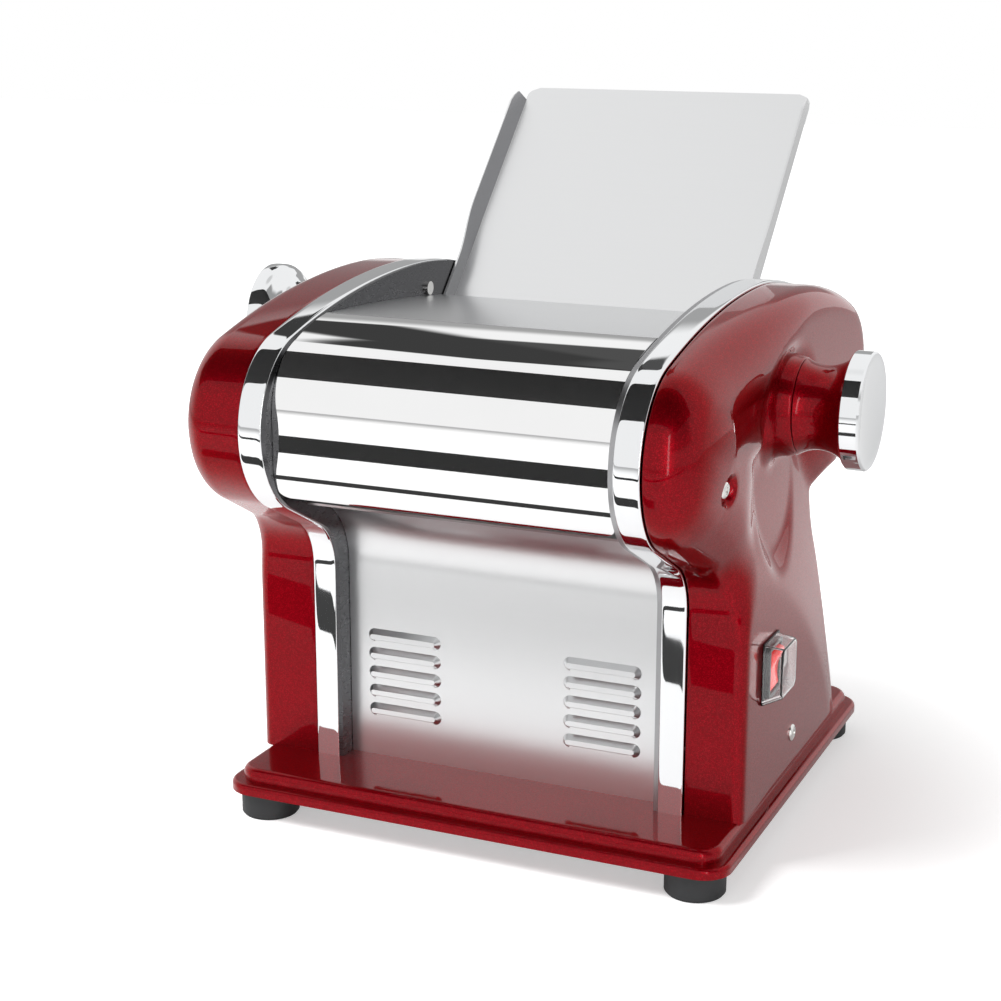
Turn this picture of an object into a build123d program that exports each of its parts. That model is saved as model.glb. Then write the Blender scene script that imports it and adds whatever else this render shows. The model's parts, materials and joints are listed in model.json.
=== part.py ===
"""Electric pasta maker: a countertop dough sheeter and noodle cutter.

Millimetres, +X to the right, +Y to the back, +Z up.
The origin is the middle of the footprint, on the surface the feet stand on.
"""
from build123d import *
from math import acos, asin, atan2, ceil, cos, degrees, hypot, pi, radians, sin, sqrt, tan
import os

os.makedirs("parts", exist_ok=True)

# ---------------------------------------------------------------- driving dimensions
# base
foot_height = 12.0
foot_radius = 13.0
foot_inset_x = 16.5          # foot centre from the base's side edge
foot_inset_y = 15.0          # foot centre from the base's front and rear edges
base_margin = 4.0            # base stands out this far beyond the right cover
base_depth = 225.2
base_corner = 13.0
rim_height = 4.5             # lower, outer tier
tier_inset = 4.5             # upper tier stands this far in
tier_height = 6.0            # upper tier above the rim
base_skin = 2.2
bottom_thickness = 1.5       # sheet that closes the base from below

# heights in the head are measured from this level, about the middle of the nose
head_z = 184.0

# arch: side outline shared by trims, frames and covers
crown_rise = 54.0            # highest point of the arch above head_z
crown_y = 5.0
crown_front_radius = 430.0
crown_rear_radius = 245.0
nose_y = -97.6
nose_radius = 40.0
cove_front_y = -102.6
cove_front_drop = 71.0       # centre of the front cove below head_z
cove_front_radius = 25.5
tail_y = 77.5
tail_radius = 37.4
cove_rear_y = 75.0
cove_rear_drop = 60.0
cove_rear_radius = 22.0
rear_foot_y = 84.0           # where the arch's rear edge meets the base

# across the machine
throat_width = 150.0         # clear width between the side frames
frame_plate = 2.0
trim_width = 11.0
trim_thickness = 3.0
trim_edge = 1.0              # rounding along both edges of a trim
trim_proud = 1.2             # trim stands out of the cover beside it
cover_gap = 0.5              # joint line between trim and cover
cover_right_depth = 25.5
cover_left_depth = 29.5      # deeper, for the gears
cover_wall = 2.6
cover_edge = 12.0            # rounding of a cover's outer edge

# sheeting rollers and dials
dial_y = -26.0               # right dial and adjustable roller
dial_rise = 9.5
roller_radius = 17.0
roller_wall = 3.0            # rim left round the recess in a roller's end
roller_recess = 6.0
roller_gap = 0.4             # closest setting
roller_gap_travel = 2.4      # what the dial opens on top of it
roller_incline = 70.0        # line of the two roller axes above the horizontal, degrees
roller_side_gap = 1.0
shaft_radius = 6.0
left_dial_y = -2.0
left_dial_rise = 25.5
dial_reach = 35.5            # a dial's face beyond the right cover's outer face
dial_radius = 25.0
dial_cap_depth = 8.5
dial_dish_depth = 1.8        # hollow in the cap's face
dial_dish_margin = 2.0       # rim left round the hollow
dial_grip_radius = 20.0
dial_waist_radius = 17.8

# noodle cutters
cutter_nip_y = -100.0
cutter_nip_drop = 12.0
cutter_incline = 126.9       # line from the lower to the upper cutter axis, degrees from +Y
ridge_overlap = 1.07         # how deep the two cutters' ridges reach past each other
cutter_ridges = 12
ridge_clearance = 0.25
cutter_shaft = 5.0

# gears
roller_teeth = 18
cutter_teeth = 12
idler_teeth = 22
pinion_teeth = 16
gear_width = 7.0
pressure_angle = 20.0
tooth_backlash = 0.32
idler_bearing_angle = -75.0  # from the lower roller to the idler
pinion_bearing_angle = -105.0  # from the idler to the motor pinion
idler_bore = 4.0
pinion_bore = 5.0
belt_teeth_roller = 17
belt_teeth_cutter = 12
belt_pitch_radius_per_tooth = 0.84
belt_thickness = 1.6
belt_width = 6.0
pulley_flange = 2.4

# dough tray
tray_end_y = 1.0             # lower end of the tray's plate
tray_end_drop = 9.0
tray_length = 192.0
tray_sheet = 1.0
tray_side_gap = 0.5
tray_flange = 10.0
tray_flange_short = 7.0      # flange stops this far below the top edge
tray_corner = 8.0

# stainless covers
sheet = 1.2
seam_y = -83.6               # where roller cover and top plate meet
cover_turn_y = -102.0        # upper turn of the roller cover
cover_turn_rise = 9.0
cover_turn_radius = 29.5
cover_tuck_drop = 12.0       # lower turn of the roller cover
cover_tuck_radius = 22.0
cover_tuck_angle = 223.0
cover_corner = 5.0
top_plate_mid_y = -24.6
top_plate_mid_rise = 41.3
top_plate_end_y = 29.0
top_plate_end_rise = 36.0
top_plate_lip = 3.0
panel_inset = 9.5            # front panel behind the posts' front
panel_sheet = 1.0
panel_top_angle = 84.0       # how far the panel follows the front cove
louvre_rows = 5
louvre_pitch = 8.85
louvre_low_z = 44.5
louvre_side_gap = 9.5        # outer end of a louvre from the side frame
louvre_length = 36.0
louvre_height = 6.4
louvre_depth = 2.6
louvre_taper = 38
rear_inset = 3.5
rear_panel_start_y = 66.0    # front edge of the rear panel, behind the tray

# switch on the right cover
switch_y = -42.6
switch_z = 81.5
rocker_width = 10.4
rocker_height = 17.0
rocker_tilt = 9.0
rocker_side_gap = 0.4
rocker_pin_radius = 1.1
rocker_pin_reach = 1.1       # pivot pin beyond each side of the rocker
switch_rim = 2.2             # bezel round the rocker
switch_bezel_depth = 2.0
hood_margin = 5.0            # hood beyond the bezel on each side
hood_depth = 10.0
hood_wall = 1.0
hood_bevel = 3.0

# screws that hold the covers
lower_screw_y = -2.2
lower_screw_z = 37.6
upper_screw_y = -103.0
upper_screw_drop = 10.0
screw_radius = 1.6
screw_head_radius = 3.4
screw_head_height = 1.6
screw_seat_radius = 5.6
screw_seat_depth = 7.0
seat_wall = 1.8

# motor
motor_radius = 29.0
motor_length = 84.0
gearbox_length = 24.0

# frame fittings
bush_radius = 9.0
bush_wall = 2.5
rod_radius = 4.0
rod_collar = 2.0
block_width = 22.0
block_height = 26.0
block_depth = 2.4

# running fits
bearing_clearance = 0.05
flat_clearance = 0.3

# ---------------------------------------------------------------- derived places
base_top = foot_height + rim_height + tier_height
crown_top = head_z + crown_rise
crown_front = (crown_y, crown_top - crown_front_radius, crown_front_radius)
crown_rear = (crown_y, crown_top - crown_rear_radius, crown_rear_radius)
nose_drop = crown_front_radius - nose_radius
nose = (nose_y, crown_front[1] + sqrt(nose_drop**2 - (nose_y - crown_y) ** 2), nose_radius)
tail_drop = crown_rear_radius - tail_radius
tail = (tail_y, crown_rear[1] + sqrt(tail_drop**2 - (tail_y - crown_y) ** 2), tail_radius)
cove_front = (cove_front_y, head_z - cove_front_drop, cove_front_radius)
cove_rear = (cove_rear_y, head_z - cove_rear_drop, cove_rear_radius)

# distances from the middle plane
throat_half = throat_width / 2
frame_outer = throat_half + frame_plate
trim_outer = frame_outer + trim_width
cover_inner = trim_outer + cover_gap
cover_right_x = cover_inner + cover_right_depth
cover_left_x = cover_inner + cover_left_depth
dial_face_x = cover_right_x + dial_reach
base_width = 2 * (cover_right_x + base_margin)

gear_module = (2 * roller_radius + roller_gap) / roller_teeth
roller_spacing = gear_module * roller_teeth


def polar(centre, radius, angle):
    """Point (y, z) on a circle round centre, angle in degrees from +Y towards +Z."""
    return (centre[0] + radius * cos(radians(angle)), centre[1] + radius * sin(radians(angle)))


def heading(start, end):
    """Direction from start to end in degrees, from +Y towards +Z."""
    return degrees(atan2(end[1] - start[1], end[0] - start[0]))


adjust_heading = 180.0 - roller_incline
upper_roller = (dial_y, head_z + dial_rise)
lower_roller = polar(upper_roller, roller_spacing, adjust_heading + 180)
cutter_spacing = gear_module * cutter_teeth
cutter_radius = (cutter_spacing + ridge_overlap) / 2
cutter_nip = (cutter_nip_y, head_z - cutter_nip_drop)
upper_cutter = polar(cutter_nip, cutter_spacing / 2, cutter_incline)
lower_cutter = polar(cutter_nip, cutter_spacing / 2, cutter_incline + 180)
idler_axis = polar(lower_roller, gear_module * (roller_teeth + idler_teeth) / 2, idler_bearing_angle)
pinion_axis = polar(idler_axis, gear_module * (idler_teeth + pinion_teeth) / 2, pinion_bearing_angle)
left_dial = (left_dial_y, head_z + left_dial_rise)
dial_dish_radius = dial_radius - dial_dish_margin
dish_sphere_radius = (dial_dish_radius**2 + dial_dish_depth**2) / (2 * dial_dish_depth)

roller_half = throat_half - roller_side_gap
gear_start = frame_outer + 3.0           # inner face of the gears, left of the left frame
belt_start = gear_start + gear_width + 5.0


# ---------------------------------------------------------------- shared outlines
def circle_arc(centre, radius, start, end):
    """Arc on a circle from one angle to another, drawn through its middle."""
    middle = (start + end) / 2
    ThreePointArc(polar(centre, radius, start), polar(centre, radius, middle), polar(centre, radius, end))


def inner_tangent_angle(centre_a, centre_b, side):
    """Angle on circle a of the line that touches circles a and b on opposite sides."""
    reach = hypot(centre_b[0] - centre_a[0], centre_b[1] - centre_a[1])
    return heading(centre_a, centre_b) + side * degrees(acos((centre_a[2] + centre_b[2]) / reach))


front_angle = inner_tangent_angle(cove_front, nose, -1)
rear_angle = inner_tangent_angle(cove_rear, tail, 1)
nose_end = heading(crown_front, nose)
tail_start = heading(crown_rear, tail)
rear_foot = (rear_foot_y, base_top)
rear_reach = hypot(cove_rear_y - rear_foot_y, cove_rear[1] - base_top)
rear_slope = heading(rear_foot, cove_rear) + degrees(asin(cove_rear_radius / rear_reach))


def rear_line_point(inset, height):
    """Point at a height on the arch's straight rear edge, moved inwards by inset."""
    touch = polar(cove_rear, cove_rear_radius + inset, rear_slope + 90)
    return (touch[0] + (height - touch[1]) / tan(radians(rear_slope)), height)


def draw_arch(inset=0.0, floor=base_top, mode=Mode.ADD):
    """Closed side outline of the machine, every point moved inwards by inset."""
    post_y = cove_front_y + cove_front_radius + inset
    with BuildLine() as outline:
        Line((post_y, floor), (post_y, cove_front[1]))
        circle_arc(cove_front, cove_front_radius + inset, 0, front_angle)
        Line(
            polar(cove_front, cove_front_radius + inset, front_angle),
            polar(nose, nose_radius - inset, front_angle + 180),
        )
        circle_arc(nose, nose_radius - inset, front_angle + 180, nose_end)
        circle_arc(crown_front, crown_front_radius - inset, nose_end, 90)
        circle_arc(crown_rear, crown_rear_radius - inset, 90, tail_start)
        circle_arc(tail, tail_radius - inset, tail_start, rear_angle - 180)
        Line(
            polar(tail, tail_radius - inset, rear_angle - 180),
            polar(cove_rear, cove_rear_radius + inset, rear_angle),
        )
        circle_arc(cove_rear, cove_rear_radius + inset, rear_angle, rear_slope + 90)
        Line(polar(cove_rear, cove_rear_radius + inset, rear_slope + 90), rear_line_point(inset, floor))
        Line(rear_line_point(inset, floor), (post_y, floor))
    make_face(outline.edges(), mode=mode)


def across(x):
    """Plane square to the roller axes at a distance x from the middle."""
    return Plane.YZ.offset(x)


def save(part, name):
    part.label = name
    export_step(part, f"parts/{name}.step")


# ---------------------------------------------------------------- gears
def involute(angle):
    return tan(angle) - angle


def gear_points(teeth, phase):
    """Outline of a spur gear; phase is the angle of one tooth's middle, in degrees."""
    pitch_radius = gear_module * teeth / 2
    base_radius = pitch_radius * cos(radians(pressure_angle))
    radii = (pitch_radius - 1.2 * gear_module, pitch_radius, pitch_radius + 0.85 * gear_module)
    half_pitch = pi / (2 * teeth) - tooth_backlash / (4 * pitch_radius)
    flank = []
    for radius in radii:
        open_angle = acos(min(1.0, base_radius / max(radius, base_radius)))
        half = half_pitch + involute(radians(pressure_angle)) - involute(open_angle)
        flank.append((radius, half))
    points = []
    for tooth in range(teeth):
        middle = radians(phase) + 2 * pi * tooth / teeth
        for radius, half in flank:
            points.append((radius * cos(middle - half), radius * sin(middle - half)))
        for radius, half in reversed(flank):
            points.append((radius * cos(middle + half), radius * sin(middle + half)))
    return points


def meshing_phase(centre, teeth, phase, other_centre, other_teeth):
    """Phase that puts the other gear's gap on this gear's tooth along their centre line."""
    line = heading(centre, other_centre)
    share = ((line - phase) * teeth / 360) % 1
    return line + 180 - (0.5 - share) * 360 / other_teeth


def axis_plane(centre, x):
    """Plane square to X whose origin lies on an axis through (y, z) = centre."""
    return Plane(origin=(x, centre[0], centre[1]), x_dir=(0, 1, 0), z_dir=(1, 0, 0))


def spur_gear(name, centre, teeth, phase, bore, start=gear_start, width=gear_width):
    """Gear on the left side, from x = -start outwards, with a hub and lightening holes."""
    pitch_radius = gear_module * teeth / 2
    hub_radius = bore + 3.0
    with BuildPart() as gear:
        with BuildSketch(axis_plane(centre, -start - width)):
            Polygon(*gear_points(teeth, phase), align=None)
            Circle(bore, mode=Mode.SUBTRACT)
            if pitch_radius - hub_radius > 9.0:
                with PolarLocations((pitch_radius + hub_radius) / 2 - 1.0, 5):
                    Circle((pitch_radius - hub_radius) / 4, mode=Mode.SUBTRACT)
        extrude(amount=width)
    save(gear.part, name)


lower_phase = 0.0
upper_phase = meshing_phase(lower_roller, roller_teeth, lower_phase, upper_roller, roller_teeth)
idler_phase = meshing_phase(lower_roller, roller_teeth, lower_phase, idler_axis, idler_teeth)
pinion_phase = meshing_phase(idler_axis, idler_teeth, idler_phase, pinion_axis, pinion_teeth)
upper_cutter_phase = meshing_phase(lower_cutter, cutter_teeth, 0.0, upper_cutter, cutter_teeth)

spur_gear("lower_roller_gear", lower_roller, roller_teeth, lower_phase, shaft_radius)
spur_gear("upper_roller_gear", upper_roller, roller_teeth, upper_phase, shaft_radius)
spur_gear("idler_gear", idler_axis, idler_teeth, idler_phase, idler_bore + bearing_clearance)
spur_gear("motor_pinion", pinion_axis, pinion_teeth, pinion_phase, pinion_bore)
spur_gear("lower_cutter_gear", lower_cutter, cutter_teeth, 0.0, cutter_shaft)
spur_gear("upper_cutter_gear", upper_cutter, cutter_teeth, upper_cutter_phase, cutter_shaft)


# ---------------------------------------------------------------- belt drive to the cutters
roller_pulley_radius = belt_pitch_radius_per_tooth * belt_teeth_roller
cutter_pulley_radius = belt_pitch_radius_per_tooth * belt_teeth_cutter


def pulley(name, centre, radius, bore):
    """Flanged belt pulley outboard of the gears."""
    with BuildPart() as wheel:
        with BuildSketch(axis_plane(centre, -belt_start - belt_width - 1.4)):
            Circle(radius + pulley_flange)
            Circle(bore, mode=Mode.SUBTRACT)
        extrude(amount=1.0)
        with BuildSketch(axis_plane(centre, -belt_start - belt_width - 0.4)):
            Circle(radius)
            Circle(bore, mode=Mode.SUBTRACT)
        extrude(amount=belt_width + 0.8)
        with BuildSketch(axis_plane(centre, -belt_start + 0.4)):
            Circle(radius + pulley_flange)
            Circle(bore, mode=Mode.SUBTRACT)
        extrude(amount=1.0)
    save(wheel.part, name)


pulley("roller_pulley", lower_roller, roller_pulley_radius, shaft_radius)
pulley("cutter_pulley", lower_cutter, cutter_pulley_radius, cutter_shaft)


def draw_belt_loop(extra, mode=Mode.ADD):
    """Hull round both pulleys, grown by extra."""
    with BuildSketch(Plane.XY, mode=Mode.PRIVATE) as loop:
        with Locations(lower_roller):
            Circle(roller_pulley_radius + extra)
        with Locations(lower_cutter):
            Circle(cutter_pulley_radius + extra)
        make_hull()
    add(loop.sketch, mode=mode)


with BuildPart() as drive_belt:
    with BuildSketch(axis_plane((0, 0), -belt_start - belt_width)):
        draw_belt_loop(flat_clearance + belt_thickness)
        draw_belt_loop(flat_clearance, mode=Mode.SUBTRACT)
    extrude(amount=belt_width)
save(drive_belt.part, "drive_belt")


# ---------------------------------------------------------------- rollers and cutters
def shaft_end(centre, radius, start, end):
    """Round shaft between two x positions."""
    with BuildSketch(axis_plane(centre, start)) as disc:
        Circle(radius)
    extrude(disc.sketch, amount=end - start)


right_shaft_end = frame_outer + 7.0
left_gear_end = gear_start + gear_width + 1.0
left_belt_end = belt_start + belt_width + 2.4


def sheeting_roller(name, centre, left_end):
    """Ground roller with a turned recess in each end, on its own shaft."""
    with BuildPart() as roller:
        with BuildSketch(axis_plane(centre, -roller_half)):
            Circle(roller_radius)
        extrude(amount=2 * roller_half)
        chamfer(roller.edges().filter_by(GeomType.CIRCLE), 0.8)
        for x in (-roller_half, roller_half - roller_recess):
            with BuildSketch(axis_plane(centre, x)):
                Circle(roller_radius - roller_wall)
                Circle(shaft_radius + 2.0, mode=Mode.SUBTRACT)
            extrude(amount=roller_recess, mode=Mode.SUBTRACT)
        shaft_end(centre, shaft_radius, -left_end, right_shaft_end)
    save(roller.part, name)


sheeting_roller("upper_roller", upper_roller, left_gear_end)
sheeting_roller("lower_roller", lower_roller, left_belt_end)

ridge_pitch = 2 * roller_half / (2 * cutter_ridges + 1)
groove_radius = cutter_spacing - cutter_radius - flat_clearance


def noodle_cutter(name, centre, first_ridge, left_end):
    """Grooved cutter: ridges on every second pitch, starting with the pitch first_ridge."""
    with BuildPart() as cutter:
        with BuildSketch(axis_plane(centre, -roller_half)):
            Circle(groove_radius)
        extrude(amount=2 * roller_half)
        for ridge in range(first_ridge, 2 * cutter_ridges + 1, 2):
            with BuildSketch(axis_plane(centre, -roller_half + ridge * ridge_pitch + ridge_clearance / 2)):
                Circle(cutter_radius)
            extrude(amount=ridge_pitch - ridge_clearance)
        shaft_end(centre, cutter_shaft, -left_end, frame_outer + 2.0)
    save(cutter.part, name)


noodle_cutter("lower_cutter", lower_cutter, 0, left_belt_end)
noodle_cutter("upper_cutter", upper_cutter, 1, left_gear_end)


# ---------------------------------------------------------------- side frames
slot_length = 2 * (shaft_radius + flat_clearance) + roller_gap_travel
rod_places = (
    (-70.0, head_z + 16.0),
    (60.0, head_z + 11.0),
    (30.0, head_z - 54.0),
    (-52.0, base_top + 17.5),
    (50.0, base_top + 17.5),
)


def side_frame(name, side):
    """Steel plate that carries the rollers, with a sloping slot for the adjustable one."""
    inner = throat_half if side > 0 else -frame_outer
    slot_middle = polar(upper_roller, roller_gap_travel / 2, adjust_heading)
    with BuildPart() as frame:
        with BuildSketch(across(inner)):
            draw_arch(inset=0.6)
            with Locations(lower_roller):
                Circle(bush_radius, mode=Mode.SUBTRACT)
            with Locations(lower_cutter, upper_cutter):
                Circle(cutter_shaft + bush_wall, mode=Mode.SUBTRACT)
            with Locations(Location((slot_middle[0], slot_middle[1], 0), (0, 0, adjust_heading))):
                SlotOverall(slot_length, 2 * (shaft_radius + flat_clearance), mode=Mode.SUBTRACT)
            with Locations(*rod_places):
                Circle(rod_radius, mode=Mode.SUBTRACT)
            if side < 0:
                with Locations(pinion_axis):
                    Circle(pinion_bore + 3.0, mode=Mode.SUBTRACT)
        extrude(amount=frame_plate)
    save(frame.part, name)


side_frame("side_frame_right", 1)
side_frame("side_frame_left", -1)

with BuildPart() as tie_rods:
    for place in rod_places:
        with BuildSketch(axis_plane(place, -throat_half)):
            Circle(rod_radius + rod_collar)
        extrude(amount=2 * throat_half)
        with BuildSketch(axis_plane(place, -frame_outer - 1.0)):
            Circle(rod_radius)
        extrude(amount=2 * frame_outer + 2.0)
save(tie_rods.part, "tie_rods")

with BuildPart() as roller_bushes:
    for x in (-frame_outer - 1.0, throat_half - 0.5):
        with BuildSketch(axis_plane(lower_roller, x)):
            Circle(bush_radius)
            Circle(shaft_radius + bearing_clearance, mode=Mode.SUBTRACT)
        extrude(amount=frame_plate + 1.5)
        for place in (lower_cutter, upper_cutter):
            with BuildSketch(axis_plane(place, x)):
                Circle(cutter_shaft + bush_wall)
                Circle(cutter_shaft + bearing_clearance, mode=Mode.SUBTRACT)
            extrude(amount=frame_plate + 1.5)
save(roller_bushes.part, "roller_bushes")


# sliding blocks that hold the adjustable roller, one against each frame's outer face
with BuildPart() as bearing_blocks:
    for x in (-frame_outer - flat_clearance - block_depth, frame_outer + flat_clearance):
        with BuildSketch(axis_plane(upper_roller, x)):
            RectangleRounded(block_width, block_height, 3.0)
            Circle(shaft_radius + bearing_clearance, mode=Mode.SUBTRACT)
        extrude(amount=block_depth)
save(bearing_blocks.part, "bearing_blocks")

with BuildPart() as idler_pin:
    with BuildSketch(axis_plane(idler_axis, -left_gear_end - 2.0)):
        Circle(idler_bore)
    extrude(amount=left_gear_end + 2.0 - frame_outer)
    with BuildSketch(axis_plane(idler_axis, -left_gear_end - 3.2)):
        Circle(idler_bore + 2.5)
    extrude(amount=1.2)
save(idler_pin.part, "idler_pin")


# ---------------------------------------------------------------- trims
def trim_band(name, side):
    """Polished arch strap between the frame and the cover."""
    start = frame_outer if side > 0 else -trim_outer
    with BuildPart() as trim:
        with BuildSketch(across(start)):
            draw_arch()
            draw_arch(inset=trim_thickness, mode=Mode.SUBTRACT)
        extrude(amount=trim_width)
        rims = []
        for end_face in (trim.faces().sort_by(Axis.X)[0], trim.faces().sort_by(Axis.X)[-1]):
            rims += end_face.outer_wire().edges().sort_by(Axis.Z)[1:]
        fillet(rims, trim_edge)
    save(trim.part, name)


trim_band("trim_right", 1)
trim_band("trim_left", -1)


# ---------------------------------------------------------------- side covers
lower_screw = (lower_screw_y, lower_screw_z)
upper_screw = (upper_screw_y, head_z - upper_screw_drop)
bezel_width = rocker_width + 2 * switch_rim
bezel_height = rocker_height + 2 * switch_rim
scoop_centre = (-127.0, head_z - 274.0)  # the flat lower part of a cover ends on this circle
scoop_radius = 226.0
scoop_slope = 0.15
scoop_top = head_z                   # the waist fades out at this height
scoop_front = -74.0                  # and this far forward
horn_radius = 41.0                   # the rear horn stays proud inside this circle
horn_slope = 0.6
dish_shift = (6.0, -17.5)            # middle of the hollow round a boss, from the dial's axis
dish_radius = 44.0
dish_depth = 6.5
boss_root_radius = 29.0
left_boss_root_radius = 23.5
boss_top_radius = 20.5
boss_height = 6.5                    # boss above the cover's outer face
dial_bore = 7.0


def cover_solid(side, outer_x, inset, edge, extra):
    """Cover block from the trim outwards, its outer edge rounded, extra pushed outwards."""
    inner_x = cover_inner - (0.0 if extra == 0 else 1.0)
    depth = outer_x + extra - inner_x
    start = inner_x if side > 0 else -inner_x
    with BuildPart(mode=Mode.PRIVATE) as block:
        with BuildSketch(across(start)):
            draw_arch(inset=inset, floor=base_top + (0.0 if extra == 0 else -1.0))
        extrude(amount=side * depth)
        outer_face = block.faces().sort_by(Axis.X)[-1 if side > 0 else 0]
        rim = outer_face.edges().sort_by(Axis.Z)[1:]
        fillet(rim, edge)
    return block.part


def scoop_tool(side, outer_x, boss_centre):
    """What is carved from a cover: the sloping waist and the dish round the boss."""
    far = 330.0
    reach = 20.0
    drop = (far - scoop_radius) * scoop_slope
    horn_far = horn_radius + (drop + reach) / horn_slope
    with BuildPart(mode=Mode.PRIVATE) as waist:
        with BuildSketch(Plane(origin=(0, *scoop_centre), x_dir=(1, 0, 0), z_dir=(0, 0, 1))):
            with BuildLine():
                Polyline(
                    (side * outer_x, scoop_radius),
                    (side * (outer_x + reach), scoop_radius),
                    (side * (outer_x + reach), far),
                    (side * (outer_x - drop), far),
                    close=True,
                )
            make_face()
        revolve(axis=Axis((0, *scoop_centre), (1, 0, 0)), revolution_arc=360)
        with BuildSketch(Plane.XZ.offset(200)):
            Polygon(
                (side * (outer_x + reach), scoop_top),
                (side * outer_x, scoop_top),
                (side * (outer_x - reach), scoop_top - reach / 0.5),
                (side * (outer_x - reach), 0),
                (side * (outer_x + reach), 0),
                align=None,
            )
        extrude(amount=-400, mode=Mode.INTERSECT)
        with BuildSketch(Plane.XY):
            Polygon(
                (side * (outer_x + reach), scoop_front),
                (side * outer_x, scoop_front),
                (side * (outer_x - reach), scoop_front + reach / 0.3),
                (side * (outer_x - reach), 200),
                (side * (outer_x + reach), 200),
                align=None,
            )
        extrude(amount=300, mode=Mode.INTERSECT)
        with BuildSketch(Plane(origin=(0, *tail[:2]), x_dir=(1, 0, 0), z_dir=(0, 0, 1))):
            Polygon(
                (side * (outer_x + reach), 0),
                (side * (outer_x + reach), horn_radius),
                (side * outer_x, horn_radius),
                (side * (outer_x - drop - reach), horn_far),
                (side * (outer_x - drop - reach), 0),
                align=None,
            )
        revolve(axis=Axis((0, *tail[:2]), (1, 0, 0)), revolution_arc=360, mode=Mode.SUBTRACT)
    with BuildPart(mode=Mode.PRIVATE) as dish:
        dish_middle = (boss_centre[0] + dish_shift[0], boss_centre[1] + dish_shift[1])
        with BuildSketch(Plane(origin=(0, *dish_middle), x_dir=(1, 0, 0), z_dir=(0, 0, 1))):
            with BuildLine():
                Polyline(
                    (side * (outer_x + reach), 0),
                    (side * (outer_x + reach), dish_radius),
                    (side * outer_x, dish_radius),
                    (side * (outer_x - dish_depth), dish_radius - 14),
                    (side * (outer_x - dish_depth), 0),
                    close=True,
                )
            make_face()
        revolve(axis=Axis((0, *dish_middle), (1, 0, 0)), revolution_arc=360)
    return waist.part, dish.part


def boss_profile(side, outer_x, root_radius, grow):
    """Half section of the boss that carries the dial, grown by a wall for the inside."""
    foot = side * (outer_x - dish_depth - 12.0)
    top = side * (outer_x + boss_height + grow)
    with BuildLine() as section:
        Polyline(
            (foot, 0),
            (foot, root_radius + grow),
            (side * (outer_x - dish_depth - 1.0 + grow), root_radius + grow),
            (side * (outer_x + 1.5 + grow), boss_top_radius + 1.2 + grow),
            (top, boss_top_radius + grow),
            (top, 0),
            close=True,
        )
    make_face(section.edges())


def boss_solid(side, outer_x, centre, root_radius, grow):
    with BuildPart(mode=Mode.PRIVATE) as boss:
        with BuildSketch(Plane(origin=(0, *centre), x_dir=(1, 0, 0), z_dir=(0, 0, 1))):
            boss_profile(side, outer_x, root_radius, grow)
        revolve(axis=Axis((0, *centre), (1, 0, 0)), revolution_arc=360)
    return boss.part


def side_cover(name, side, outer_x, boss_centre, root_radius):
    """Moulded shell: sculpted outside, the same form one wall smaller inside."""
    waist, dish = scoop_tool(side, outer_x, boss_centre)
    shift = Location((-side * cover_wall, 0, 0))
    with BuildPart(mode=Mode.PRIVATE) as pocket:
        add(cover_solid(side, outer_x - cover_wall - 1.0, trim_proud + cover_wall, cover_edge - cover_wall, 1.0))
        add(waist.moved(shift), mode=Mode.SUBTRACT)
        add(dish.moved(shift), mode=Mode.SUBTRACT)
        add(boss_solid(side, outer_x, boss_centre, root_radius, -cover_wall))
    with BuildPart() as cover:
        add(cover_solid(side, outer_x, trim_proud, cover_edge, 0.0))
        add(waist, mode=Mode.SUBTRACT)
        add(dish, mode=Mode.SUBTRACT)
        add(boss_solid(side, outer_x, boss_centre, root_radius, 0.0))
        add(pocket.part, mode=Mode.SUBTRACT)
        with BuildSketch(axis_plane(boss_centre, side * outer_x - 40)):
            Circle(dial_bore)
        extrude(amount=80, mode=Mode.SUBTRACT)
        with BuildSketch(axis_plane(lower_screw, side * outer_x - 10)):
            Circle(screw_radius + bearing_clearance)
        extrude(amount=20, mode=Mode.SUBTRACT)
        with BuildSketch(axis_plane(upper_screw, side * (outer_x - screw_seat_depth - seat_wall))):
            Circle(screw_seat_radius + seat_wall)
        extrude(amount=side * seat_wall)
        with BuildSketch(axis_plane(upper_screw, side * (outer_x - screw_seat_depth - seat_wall))):
            Circle(screw_seat_radius + seat_wall)
            Circle(screw_seat_radius, mode=Mode.SUBTRACT)
        extrude(amount=side * (screw_seat_depth + seat_wall - 1.0))
        with BuildSketch(axis_plane(upper_screw, side * (outer_x - screw_seat_depth))):
            Circle(screw_seat_radius)
        extrude(amount=side * 30, mode=Mode.SUBTRACT)
        with BuildSketch(axis_plane(upper_screw, side * outer_x - 30)):
            Circle(screw_radius + bearing_clearance)
        extrude(amount=60, mode=Mode.SUBTRACT)
        if side > 0:
            with BuildSketch(axis_plane((switch_y, switch_z), outer_x - 10)):
                Rectangle(bezel_width - 2.0, bezel_height - 2.0)
            extrude(amount=20, mode=Mode.SUBTRACT)
    save(cover.part, name)


side_cover("side_cover_right", 1, cover_right_x, upper_roller, boss_root_radius)
side_cover("side_cover_left", -1, cover_left_x, left_dial, left_boss_root_radius)


# ---------------------------------------------------------------- dials
def dial_grip(name, side, centre, boss_end):
    """Turned grip: seats on the boss, waisted, flared towards its cap."""
    start = boss_end + flat_clearance
    end = dial_face_x - dial_cap_depth
    middle = start + 0.42 * (end - start)
    with BuildPart() as grip:
        with BuildSketch(Plane(origin=(0, *centre), x_dir=(1, 0, 0), z_dir=(0, 0, 1))):
            with BuildLine():
                Polyline((side * start, dial_grip_radius), (side * start, 0), (side * end, 0))
                Line((side * end, 0), (side * end, dial_radius - 2.0))
                ThreePointArc(
                    (side * end, dial_radius - 2.0),
                    (side * middle, dial_waist_radius),
                    (side * start, dial_grip_radius),
                )
            make_face()
        revolve(axis=Axis((0, *centre), (1, 0, 0)), revolution_arc=360)
    save(grip.part, name)


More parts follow.
